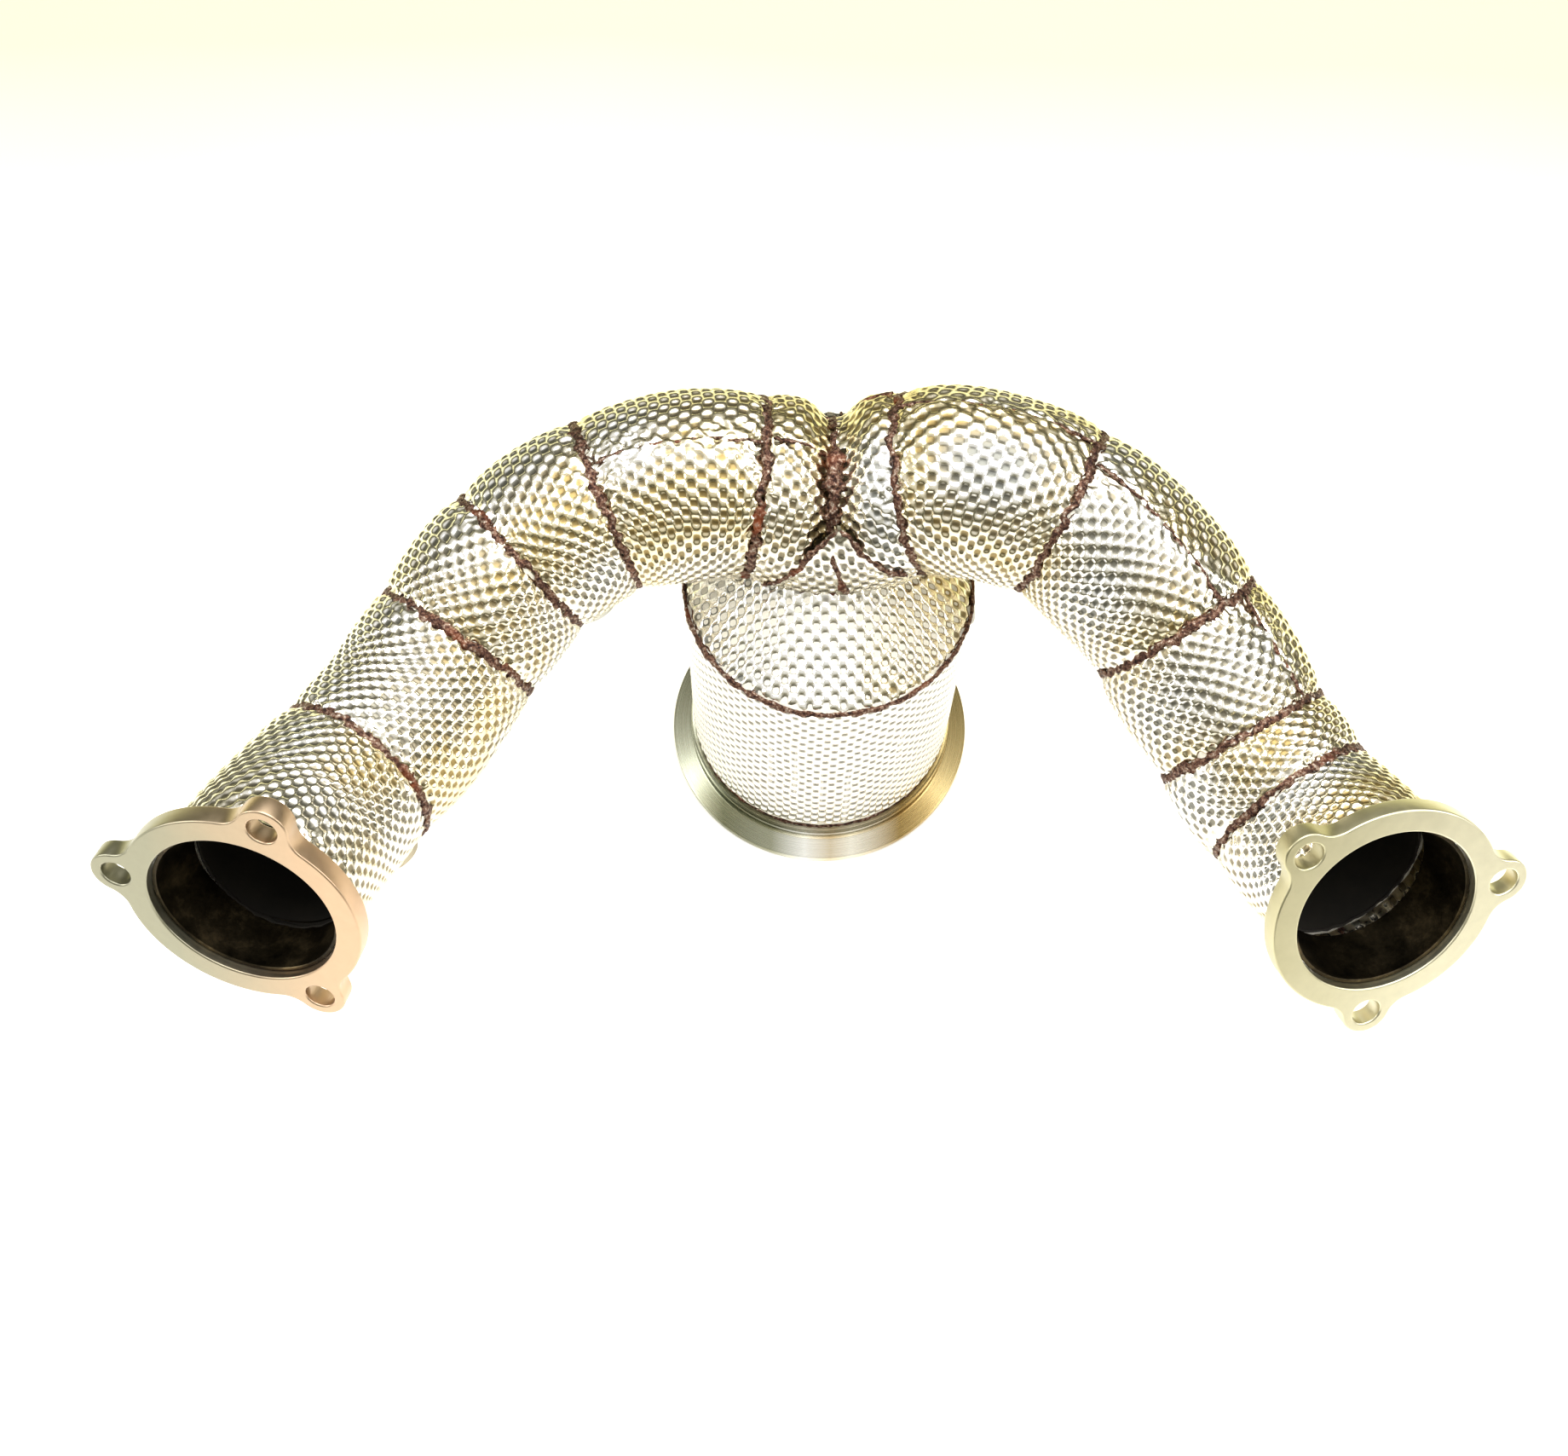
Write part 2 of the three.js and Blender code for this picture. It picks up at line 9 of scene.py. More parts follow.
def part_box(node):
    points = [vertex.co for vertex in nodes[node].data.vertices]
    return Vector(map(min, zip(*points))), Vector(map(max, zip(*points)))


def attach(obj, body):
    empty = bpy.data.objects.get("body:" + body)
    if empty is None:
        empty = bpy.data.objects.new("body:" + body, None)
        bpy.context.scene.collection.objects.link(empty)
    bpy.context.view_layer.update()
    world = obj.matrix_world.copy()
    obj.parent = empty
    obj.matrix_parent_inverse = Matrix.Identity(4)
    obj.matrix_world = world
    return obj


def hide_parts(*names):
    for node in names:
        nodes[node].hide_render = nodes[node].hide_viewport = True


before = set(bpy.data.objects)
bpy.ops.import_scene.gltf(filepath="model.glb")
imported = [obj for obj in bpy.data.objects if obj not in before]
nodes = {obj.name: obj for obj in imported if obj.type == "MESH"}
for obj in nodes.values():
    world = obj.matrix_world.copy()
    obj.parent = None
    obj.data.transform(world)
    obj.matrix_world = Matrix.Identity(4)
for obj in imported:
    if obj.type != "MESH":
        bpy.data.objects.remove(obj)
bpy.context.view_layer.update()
MM = 0.001


# ---------- Floor, light and camera ----------
# The part stands on a pale floor under a large soft light, with a dimmer room round it, which is what
# gives bare metal its darker side. The camera looks down on it from the front.
def linear(text):
    """An sRGB hex colour as linear red, green, blue and alpha."""
    shares = [int(text[i:i + 2], 16) / 255 for i in (1, 3, 5)]
    curve = [c / 12.92 if c <= 0.04045 else ((c + 0.055) / 1.055) ** 2.4 for c in shares]
    return (*curve, 1.0)


def add(tree, kind, inputs=None, **settings):
    """Adds a node. Inputs take a value or another node's output, and settings are the node's own."""
    node = tree.nodes.new(kind)
    for name, value in settings.items():
        setattr(node, name, value)
    for name, value in (inputs or {}).items():
        if isinstance(value, bpy.types.NodeSocket):
            tree.links.new(value, node.inputs[name])
        else:
            node.inputs[name].default_value = value
    return node


def new_material(name):
    """A material with one Principled shader, and the object coordinates that its patterns use."""
    material = bpy.data.materials.new(name)
    material.use_nodes = True
    tree = material.node_tree
    place = add(tree, "ShaderNodeTexCoord").outputs["Object"]
    return material, tree, tree.nodes["Principled BSDF"], place


floor_mesh = bpy.data.meshes.new("floor")
FLOOR_HALF = 3.0
FLOOR_DROP = 0.3  # millimetres under the part's own foot
corners = [(-FLOOR_HALF, -FLOOR_HALF), (FLOOR_HALF, -FLOOR_HALF),
           (FLOOR_HALF, FLOOR_HALF), (-FLOOR_HALF, FLOOR_HALF)]
floor_mesh.from_pydata([(x, y, -FLOOR_DROP * MM) for x, y in corners], [], [(0, 1, 2, 3)])
floor = bpy.data.objects.new("floor", floor_mesh)
bpy.context.scene.collection.objects.link(floor)

# Matt card under a strong light: it looks nearly white, with no reflections, and yellows at the far side.
paper, tree, shader, place = new_material("pale_paper_floor")
grain = add(tree, "ShaderNodeTexNoise", {"Vector": place, "Scale": 2.0, "Detail": 2.0})
far_side = add(tree, "ShaderNodeSeparateXYZ", {"Vector": place}).outputs["Y"]
waver = add(tree, "ShaderNodeMath", {0: grain.outputs["Fac"], 1: 0.12, 2: far_side}, operation="MULTIPLY_ADD")
share = add(tree, "ShaderNodeMapRange", {"Value": waver.outputs["Value"], "From Min": 0.0, "From Max": 0.5})
tint = add(tree, "ShaderNodeMix", {"Factor": share.outputs["Result"]}, data_type="RGBA")
tint.inputs["A"].default_value = linear("#fffdf8")
tint.inputs["B"].default_value = linear("#e0dba6")
tree.links.new(tint.outputs["Result"], shader.inputs["Base Color"])
tree.links.new(tint.outputs["Result"], shader.inputs["Emission Color"])
shader.inputs["Roughness"].default_value = 0.9
shader.inputs["Emission Strength"].default_value = 0.3
floor_mesh.materials.append(paper)

world = bpy.data.worlds.new("studio")
world.use_nodes = True
bpy.context.scene.world = world
tree = world.node_tree
direction = add(tree, "ShaderNodeTexCoord").outputs["Generated"]
height = add(tree, "ShaderNodeSeparateXYZ", {"Vector": direction}).outputs["Z"]
room = add(tree, "ShaderNodeValToRGB", {"Fac": height})
room.color_ramp.elements[0].position = 0.0
room.color_ramp.elements[0].color = linear("#8f8b76")
room.color_ramp.elements[1].position = 0.75
room.color_ramp.elements[1].color = linear("#ffffff")
for at, shade in ((0.2, "#4e4b3c"), (0.42, "#a8a48f"), (0.6, "#e6e3d6")):
    room.color_ramp.elements.new(at).color = linear(shade)
tree.links.new(room.outputs["Color"], tree.nodes["Background"].inputs["Color"])
tree.nodes["Background"].inputs["Strength"].default_value = 0.9

LAMPS = [  # name, place, target, size in metres, power in watts
    ("overhead_softbox", (0.1, 0.25, 1.5), (0, 0, 0.1), 1.4, 26),
    ("left_softbox", (-1.3, -0.3, 0.8), (0, 0, 0.1), 0.8, 9),
    ("right_softbox", (1.3, -0.5, 0.9), (0, 0, 0.1), 0.8, 10),
]
for name, spot, target, size, power in LAMPS:
    lamp = bpy.data.lights.new(name, "AREA")
    lamp.size = size
    lamp.energy = power
    holder = bpy.data.objects.new(name, lamp)
    holder.location = spot
    holder.rotation_euler = (Vector(target) - Vector(spot)).to_track_quat("-Z", "Y").to_euler()
    bpy.context.scene.collection.objects.link(holder)

camera = bpy.data.objects.new("camera", bpy.data.cameras.new("camera"))
camera.data.sensor_width = 36
camera.data.lens = 41.09
side_way = Vector((0.99964628, 0.02404505, 0.01136423))
up_way = Vector((-0.0265953, 0.90378911, 0.42715095))
turn = Matrix((side_way, up_way, side_way.cross(up_way))).transposed().to_4x4()
camera.matrix_world = Matrix.Translation((-0.01704, -0.37167, 0.78244)) @ turn
bpy.context.scene.collection.objects.link(camera)
bpy.context.scene.camera = camera
bpy.context.scene.view_settings.view_transform = "Standard"


# ---------- Routes of the two arms ----------
# Each arm is a tube bent to one smooth line, from three bolts at its flange to the collector over the
# can. The wrap, the seams and the inner pipes all follow this line.
CAN_TOP = 135.0
MERGE = (0, 20, 170)
OVERRUN = 14.0
ROUTES = {
    "left": {
        "centre": (-208, -164, 43), "azimuth": -11, "elevation": 22.5, "clocking": 74.5,
        "axis": [(-196, -123, 23), (-180, -94, 14), (-163, -67, 12), (-147, -40, 18), (-123, -9, 30),
                 (-90, 12, 39), (-48, 21, 42)],
        "seams": [79, 145, 186, 227, 287], "joint": 186,
    },
    "right": {
        "centre": (205, -148, 30), "azimuth": 16, "elevation": 33.5, "clocking": -97.5,
        "axis": [(195, -122, 15), (182, -100, 9), (167, -77, 11), (147, -46, 22), (124, -17, 36),
                 (92, 7, 48), (50, 19, 52)],
        "seams": [62, 94, 144, 209, 268], "joint": 144,
    },
}


def unit(v):
    """The vectors, each made one long."""
    return v / np.linalg.norm(v, axis=-1, keepdims=True)


def smooth_line(knots):
    """Points of the centripetal Catmull-Rom curve through the knots, close together."""
    p = np.array([2 * knots[0] - knots[1], *knots, 2 * knots[-1] - knots[-2]])
    points = []
    t = np.linspace(0, 1, 160, endpoint=False)[:, None]
    for i in range(len(p) - 3):
        a, b, c, d = p[i:i + 4]
        ab, bc, cd = (max(np.linalg.norm(v) ** 0.5, 1e-4) for v in (b - a, c - b, d - c))
        start = ((b - a) / ab - (c - a) / (ab + bc) + (c - b) / bc) * bc
        end = ((c - b) / bc - (d - b) / (bc + cd) + (d - c) / cd) * bc
        cubic = 2 * b - 2 * c + start + end
        square = -3 * b + 3 * c - 2 * start - end
        points.append(cubic * t ** 3 + square * t ** 2 + start * t + b)
    return np.concatenate([*points, p[-2:-1]])


class Arm:
    """An arm's line: places along it, counted in millimetres from the flange face."""

    def __init__(self, side):
        route = ROUTES[side]
        azimuth, elevation = math.radians(route["azimuth"]), math.radians(route["elevation"])
        facing = np.array([math.sin(azimuth), -math.cos(azimuth), math.tan(elevation)])
        self.facing = unit(facing)
        over_can = np.array([0, 0, CAN_TOP])
        self.centre = np.array(route["centre"]) + over_can
        bends = [np.array(point) + over_can for point in route["axis"]]
        merge = np.array(MERGE, float)
        beyond = merge + unit(merge - bends[-1]) * OVERRUN
        lead = [self.centre - self.facing * depth for depth in (0, 4, 8)]
        line = smooth_line(np.array([*lead, *bends, merge, beyond]))
        steps = np.concatenate([[0], np.cumsum(np.linalg.norm(np.diff(line, axis=0), axis=1))])
        self.length = steps[-1]
        self.depths = np.arange(0, self.length, 0.5)
        self.line = np.stack([np.interp(self.depths, steps, line[:, k]) for k in range(3)], 1)
        self.sign = -1 if side == "left" else 1
        self.seams = route["seams"]
        self.joint = route["joint"]
        self.clocking = route["clocking"]

    def at(self, depth):
        """Place, direction, upward and sideways vectors at each depth."""
        depth = np.asarray(depth, float)
        read = lambda d: np.stack([np.interp(d, self.depths, self.line[:, k]) for k in range(3)], -1)
        ahead = unit(read(np.minimum(depth + 2, self.length)) - read(np.maximum(depth - 2, 0)))
        upward = np.array([0, 0, 1.0]) - ahead * ahead[..., 2:3]
        upward = unit(upward)
        return read(depth), ahead, upward, np.cross(ahead, upward)

    def surface(self, depth, angle, radius):
        """Points round the arm; angle 0 is on top."""
        place, _, upward, sideways = self.at(depth)
        outward = np.cos(angle)[..., None] * upward + np.sin(angle)[..., None] * sideways
        return place + radius[..., None] * outward


ARMS = {side: Arm(side) for side in ROUTES}


# ---------- Embossed foil wrap of the arms ----------
# Thin stainless foil, rolled with a checkerboard of raised and sunk squares 3.4 mm wide, is cut into
# short sleeves that follow the bends. Each is pulled tight over a fibre mat, so it pillows out between
# its seams and is crushed along them.
CHECK = 3.4  # width of one embossed square
RELIEF = 0.46  # height of the embossing above and below the sheet's middle
WRAP_RADIUS = 35.7
GRID = 0.62  # spacing of the mesh points
SLEEVE_START = 11.5
SWELL = 1.5  # how much the wrap grows towards the collector
SWELL_START = 215
SWELL_RUN = 75
TUCK_RADIUS = 34.8  # the first sleeve's edge, turned in against the flange


def ripple(u, v, size, seed):
    """Smooth noise from -1 to 1 with bumps about size across."""
    table = np.random.RandomState(seed).uniform(-1, 1, (64, 64))
    u, v = np.asarray(u) / size + 1000.0, np.asarray(v) / size + 1000.0
    i, j = np.floor(u).astype(int), np.floor(v).astype(int)
    a, b = u - i, v - j
    a, b = a * a * (3 - 2 * a), b * b * (3 - 2 * b)
    pick = lambda di, dj: table[(i + di) % 64, (j + dj) % 64]
    low = pick(0, 0) * (1 - a) + pick(1, 0) * a
    high = pick(0, 1) * (1 - a) + pick(1, 1) * a
    return low * (1 - b) + high * b


def embossing(u, v, turn_degrees, seed):
    """Height of the rolled pattern from -1 to 1, slightly warped as hand-formed foil is."""
    turn = math.radians(turn_degrees)
    u = u + 0.9 * ripple(u, v, 17.0, seed)
    v = v + 0.9 * ripple(u, v, 17.0, seed + 1)
    a = u * math.cos(turn) + v * math.sin(turn)
    b = v * math.cos(turn) - u * math.sin(turn)
    wave = np.cos(math.pi * a / CHECK) * np.cos(math.pi * b / CHECK)
    return np.tanh(2.4 * wave) / math.tanh(2.4)


def crumple(u, v, seed):
    """Sharp creases of crushed foil, from -1 to 1."""
    fine = 1 - 2 * np.abs(ripple(u, v, 2.1, seed))
    broad = 1 - 2 * np.abs(ripple(u + v, v - u, 4.3, seed + 1))
    return 0.55 * broad + 0.45 * fine


def grid_mesh(name, points, wrap, measures, keep=None):
    """A mesh of rows of points, closed round each row if wrap is set. Faces outside keep are left out."""
    rows, columns = points.shape[:2]
    index = np.arange(rows * columns).reshape(rows, columns)
    right = np.roll(index, -1, axis=1)
    quads = np.stack([index[:-1], right[:-1], right[1:], index[1:]], -1)
    if not wrap:
        quads = quads[:, :-1]
    quads = quads.reshape(-1, 4)
    if keep is not None:
        quads = quads[keep.ravel()[quads].any(axis=1)]
    used = np.unique(quads)
    number = np.full(rows * columns, -1)
    number[used] = np.arange(len(used))
    mesh = bpy.data.meshes.new(name)
    mesh.vertices.add(len(used))
    mesh.vertices.foreach_set("co", (points.reshape(-1, 3)[used] * MM).astype(np.float32).ravel())
    mesh.loops.add(quads.size)
    mesh.loops.foreach_set("vertex_index", number[quads].ravel().astype(np.int32))
    mesh.polygons.add(len(quads))
    mesh.polygons.foreach_set("loop_start", np.arange(0, quads.size, 4, dtype=np.int32))
    for key, values in measures.items():
        layer = mesh.attributes.new(key, "FLOAT", "POINT")
        layer.data.foreach_set("value", np.ascontiguousarray(values.ravel()[used], np.float32))
    mesh.update(calc_edges=True)
    mesh.shade_smooth()
    mesh.validate()
    return mesh


def add_piece(mesh, material, slot, *replaced):
    """Puts a finished mesh in the scene as a piece of the object."""
    mesh.materials.append(material)
    piece = bpy.data.objects.new(mesh.name, mesh)
    bpy.context.scene.collection.objects.link(piece)
    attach(piece, "root")
    if replaced:
        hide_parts(*replaced)
    return piece


# Bright rolled stainless: the raised squares stay nearly white, and the sunk ones are painted a darker olive,
# browner where the straw tint lies. That olive is painted shade and painted reflection in the hollows.
# The tint of weld heat beside the seams doesn't show: Cycles keeps the name heat for fire and smoke, so
# this measure of that name reads as zero.
foil_metal, tree, shader, place = new_material("embossed_stainless_foil")
relief = add(tree, "ShaderNodeAttribute", attribute_name="relief").outputs["Fac"]
heat = add(tree, "ShaderNodeAttribute", attribute_name="heat").outputs["Fac"]
low = add(tree, "ShaderNodeMapRange", {
    "Value": relief, "From Min": -0.75, "From Max": -0.1, "To Min": 1.0, "To Max": 0.0,
})
straw = add(tree, "ShaderNodeAttribute", attribute_name="straw").outputs["Fac"]
patches = add(tree, "ShaderNodeTexNoise", {"Vector": place, "Scale": 1 / (12 * MM), "Detail": 4.0})
gilded = add(tree, "ShaderNodeMath", {
    0: patches.outputs["Fac"], 1: straw,
}, operation="MULTIPLY", use_clamp=True)
sheet = add(tree, "ShaderNodeMix", {"Factor": gilded.outputs["Value"]}, data_type="RGBA")
sheet.inputs["A"].default_value = linear("#f3f1ea")
sheet.inputs["B"].default_value = linear("#e6d9b4")
# Painted shade: the sunk squares are coloured darker in place of the shade and dark reflection that the
# hollows catch.
pit_shade = add(tree, "ShaderNodeMix", {"Factor": gilded.outputs["Value"]}, data_type="RGBA")
pit_shade.inputs["A"].default_value = linear("#4f5046")
pit_shade.inputs["B"].default_value = linear("#7b6428")
pit_shade_share = add(tree, "ShaderNodeMath", {0: low.outputs["Result"], 1: 0.86}, operation="MULTIPLY")
sheet_with_pit_shade = add(tree, "ShaderNodeMix", {
    "Factor": pit_shade_share.outputs["Value"], "A": sheet.outputs["Result"], "B": pit_shade.outputs["Result"],
}, data_type="RGBA")
mottle = add(tree, "ShaderNodeTexNoise", {"Vector": place, "Scale": 1 / (3.5 * MM), "Detail": 4.0})
uneven = add(tree, "ShaderNodeMath", {0: mottle.outputs["Fac"], 1: -0.5}, operation="ADD")
burn = add(tree, "ShaderNodeMath", {0: uneven.outputs["Value"], 1: 0.75, 2: heat}, operation="MULTIPLY_ADD")
tints = add(tree, "ShaderNodeValToRGB", {"Fac": burn.outputs["Value"]})
tints.color_ramp.elements[0].position = 0.12
tints.color_ramp.elements[0].color = linear("#ffffff")
tints.color_ramp.elements[1].position = 0.98
tints.color_ramp.elements[1].color = linear("#1d120e")
for at, shade in ((0.3, "#e4c68c"), (0.5, "#a06a32"), (0.72, "#54301d")):
    tints.color_ramp.elements.new(at).color = linear(shade)
tinted = add(tree, "ShaderNodeMix", {
    "Factor": 1.0, "A": sheet_with_pit_shade.outputs["Result"], "B": tints.outputs["Color"],
}, data_type="RGBA", blend_type="MULTIPLY")
tree.links.new(tinted.outputs["Result"], shader.inputs["Base Color"])
shader.inputs["Metallic"].default_value = 1.0
matt = add(tree, "ShaderNodeMath", {0: low.outputs["Result"], 1: 0.2, 2: 0.17}, operation="MULTIPLY_ADD")
tree.links.new(matt.outputs["Value"], shader.inputs["Roughness"])
# The scuffs are drawn nearly 1 mm across, coarser than real ones, so that they show.
scuffs = add(tree, "ShaderNodeTexNoise", {"Vector": place, "Scale": 1 / (0.9 * MM), "Detail": 3.0})
bump = add(tree, "ShaderNodeBump", {"Height": scuffs.outputs["Fac"], "Strength": 0.25, "Distance": 0.12 * MM})
tree.links.new(bump.outputs["Normal"], shader.inputs["Normal"])

# A boss passes through the wrap where the foil is cut out for it.
BOSSES = [  # name, arm, depth along it, direction
    ("flange_sensor_bung", "left", 76, (0.21, -0.34, -0.92)),
    ("arm_sensor_bung", "left", 199, (0.37, -0.09, -0.93)),
]
BOSS_RADIUS = 12.0
BOSS_BORE = 8.3


def boss_line(side, depth, direction):
    """The boss's foot on the arm's line, and the way it points."""
    place, ahead, _, _ = ARMS[side].at(depth)
    towards = np.array(direction) - ahead * (ahead @ np.array(direction))
    return place, unit(towards)


def away_from_bosses(points, lines):
    """Which points lie outside every boss, so that the foil ends round it."""
    keep = np.ones(points.shape[:2], bool)
    for foot, towards in lines:
        offset = points - foot
        along = offset @ towards
        radial = np.linalg.norm(offset - along[..., None] * towards, axis=-1)
        keep &= (radial > BOSS_RADIUS - 1.5) | (along < 0)
    return keep


def pinch(x):
    """How far the wrap is drawn in towards the seam where the arms meet."""
    return 6.5 * np.exp(-(x / 8.0) ** 2)


def pinched(arm, depth, angle, radius):
    """The wrap's radius, less what it is drawn in there."""
    return radius - pinch(arm.surface(depth, angle, radius)[..., 0])


def growth(depth):
    """How much the wrap has grown at a depth."""
    return SWELL * np.clip((depth - SWELL_START) / SWELL_RUN, 0, 1)


def sleeve_height(depth, angle, start, end, seed, lap, rough_lap):
    """Radius, relief, heat and straw tint of one sleeve's foil at each point."""
    u, v = depth, WRAP_RADIUS * angle
    to_seam = np.minimum(np.abs(depth - start), np.abs(end - depth))
    beside = 1 - 0.6 * np.exp(-(to_seam / 2.4) ** 2) - 0.4 * np.exp(-(to_seam / 7.0) ** 2)
    to_lap = WRAP_RADIUS * np.abs((angle - lap + math.pi) % (2 * math.pi) - math.pi)
    crushed = np.exp(-(to_seam / 5.5) ** 2) + 0.9 * np.exp(-(to_lap / (9.0 if rough_lap else 2.2)) ** 2)
    crushed = np.clip(crushed + 0.5 * (ripple(u, v, 13.0, seed + 7) - 0.4), 0, 1)
    lattice = embossing(u, v, 7 * ripple(seed, 0.5, 1.0, 3), seed) * (1 - 0.6 * crushed)
    pillow = 0.9 * np.sin(math.pi * np.clip((depth - start) / (end - start), 0, 1))
    folds = 1.05 * crushed * crumple(u, v, seed + 2)
    radius = WRAP_RADIUS + pillow + RELIEF * lattice + folds + 0.8 * ripple(u, v, 26.0, seed + 4)
    radius += growth(depth) - 2.3 * (1 - beside)
    warm = 1.2 * np.exp(-(to_seam / 8.0) ** 1.1) + 0.6 * np.exp(-(to_lap / (9.0 if rough_lap else 4.0)) ** 2)
    warm *= 0.8 + 0.6 * ripple(u, v, 9.0, seed + 5)
    straw = np.clip(0.9 + 1.6 * ripple(u, v, 30.0, seed + 8) + 0.5 * np.sin(angle + 0.6), 0, 2)
    return radius, lattice + 0.5 * crushed * crumple(u, v, seed + 2), warm, straw


LAPS = {  # angle of each sleeve's lengthwise lap, from the top
    "left": [math.pi, math.pi, math.pi, math.pi, 0.09, 0.03],
    "right": [math.pi, math.pi, 0.42, 0.08, 0.35, 0.75],
}
ROUGH_LAPS = {"left": [4], "right": [2, 3, 4]}  # sleeves that are crushed beside the lap too

for side, arm in ARMS.items():
    edges = [SLEEVE_START, *arm.seams, arm.length]
    columns = round(2 * math.pi * WRAP_RADIUS / GRID)
    lines = [boss_line(arm_side, depth, way) for _, arm_side, depth, way in BOSSES if arm_side == side]
    for number, (start, end) in enumerate(zip(edges[:-1], edges[1:])):
        seed = 11 * number + (100 if side == "left" else 500)
        lap = LAPS[side][number]
        depth = np.linspace(start, end, round((end - start) / GRID) + 1)[:, None]
        angle = (lap + np.linspace(0, 2 * math.pi, columns, endpoint=False))[None, :]
        depth, angle = np.broadcast_arrays(depth, angle)
        rough = number in ROUGH_LAPS[side]
        radius, lattice, warm, straw = sleeve_height(depth, angle, start, end, seed, lap, rough)
        radius = pinched(arm, depth, angle, radius)
        if number == 0:
            tuck = np.exp(-((depth - start) / 1.6) ** 2)
            radius = radius * (1 - tuck) + TUCK_RADIUS * tuck
        points = arm.surface(depth, angle, radius)
        keep = away_from_bosses(points, lines)
        if number == len(arm.seams):
            keep &= points[..., 0] * arm.sign > 0.2
            points[..., 0] = np.where(points[..., 0] * arm.sign < 0.2, 0.2 * arm.sign, points[..., 0])
        measures = {"relief": lattice, "heat": warm, "straw": straw}
        mesh = grid_mesh(f"{side}_foil_sleeve_{number + 1}", points, True, measures, keep)
        add_piece(mesh, foil_metal, "embossed_foil", f"{side}_foil_{number + 1}")


# ---------- Welded seams ----------
# Neighbouring sheets of foil are lapped, crushed together and run over with a small torch, which leaves
# a jagged crust: dark brown oxide with rust-red and orange edges and bits of bare metal.
BEAD_STEP = 0.6  # spacing of the mesh points along a bead
BEAD_SIDES = 14


def weld_run(name, line, outward, width, height, seed, closed, jag=1.0):
    """A lumpy flattened bead along a line, sunk halfway into the foil."""
    line, outward = np.asarray(line, float), unit(np.asarray(outward, float))
    if closed:
        line, outward = np.vstack([line, line[:1]]), np.vstack([outward, outward[:1]])
    steps = np.concatenate([[0], np.cumsum(np.linalg.norm(np.diff(line, axis=0), axis=1))])
    count = max(8, round(steps[-1] / BEAD_STEP))
    at = np.linspace(0, steps[-1], count, endpoint=not closed)
    line = np.stack([np.interp(at, steps, line[:, k]) for k in range(3)], 1)
    outward = unit(np.stack([np.interp(at, steps, outward[:, k]) for k in range(3)], 1))
    ahead = unit(np.roll(line, -1, 0) - np.roll(line, 1, 0)) if closed else unit(np.gradient(line, axis=0))
    across = unit(np.cross(ahead, outward))
    wander = jag * 0.9 * ripple(at, 0.0, 4.0, seed) + jag * 0.5 * ripple(at, 0.0, 1.6, seed + 9)
    line = line + across * wander[:, None]
    turns = np.linspace(0, 2 * math.pi, BEAD_SIDES, endpoint=False)
    half = width / 2 * (1 + 0.5 * ripple(at, 5.0, 3.0, seed + 1) + 0.3 * ripple(at, 7.0, 11.0, seed + 5))
    if not closed:
        half = half * np.clip(np.minimum(at, at[-1] - at) / 2.5 + 0.25, 0, 1)
    lumps = 1 + 0.4 * ripple(at[:, None], 3.0 * turns[None, :], 1.3, seed + 2)
    side = (half[:, None] * np.cos(turns) * lumps)[..., None] * across[:, None]
    rise = (height * np.sin(turns)[None, :] * lumps)[..., None] * outward[:, None]
    points = line[:, None] + side + rise
    crust = np.broadcast_to(np.sin(turns)[None, :], points.shape[:2])
    if closed:
        points, crust = np.vstack([points, points[:1]]), np.vstack([crust, crust[:1]])
        return grid_mesh(name, points, True, {"crust": crust})
    caps = np.broadcast_to(points.mean(axis=1, keepdims=True), points.shape)
    points = np.concatenate([caps[:1], points, caps[-1:]])
    crust = np.concatenate([crust[:1], crust, crust[-1:]])
    return grid_mesh(name, points, True, {"crust": crust})


# Burnt weld: dull and nearly black, broken by small glints of bare metal and patches of orange rust.
burnt_seam, tree, shader, place = new_material("torch_welded_stainless_seam")
flecks = add(tree, "ShaderNodeTexNoise", {
    "Vector": place, "Scale": 1 / (1.6 * MM), "Detail": 5.0, "Roughness": 0.7,
})
oxide = add(tree, "ShaderNodeValToRGB", {"Fac": flecks.outputs["Fac"]})
oxide.color_ramp.elements[0].position = 0.33
oxide.color_ramp.elements[0].color = linear("#1c1210")
oxide.color_ramp.elements[1].position = 0.72
oxide.color_ramp.elements[1].color = linear("#d8d0c2")
for at, shade in ((0.44, "#3f2b25"), (0.52, "#6a4a3a"), (0.6, "#8b7767")):
    oxide.color_ramp.elements.new(at).color = linear(shade)
zones = add(tree, "ShaderNodeTexNoise", {"Vector": place, "Scale": 1 / (26 * MM), "Detail": 2.0})
rust = add(tree, "ShaderNodeMapRange", {
    "Value": zones.outputs["Fac"], "From Min": 0.58, "From Max": 0.74, "To Max": 0.45,
})
seam_colour = add(tree, "ShaderNodeMix", {
    "Factor": rust.outputs["Result"], "A": oxide.outputs["Color"],
}, data_type="RGBA")
seam_colour.inputs["B"].default_value = linear("#9c4a1c")
tree.links.new(seam_colour.outputs["Result"], shader.inputs["Base Color"])
shader.inputs["Metallic"].default_value = 0.85
gloss = add(tree, "ShaderNodeMapRange", {
    "Value": flecks.outputs["Fac"], "From Min": 0.35, "From Max": 0.7, "To Min": 0.55, "To Max": 0.3,
})
tree.links.new(gloss.outputs["Result"], shader.inputs["Roughness"])
bump = add(tree, "ShaderNodeBump", {"Height": flecks.outputs["Fac"], "Strength": 0.8, "Distance": 0.5 * MM})
tree.links.new(bump.outputs["Normal"], shader.inputs["Normal"])

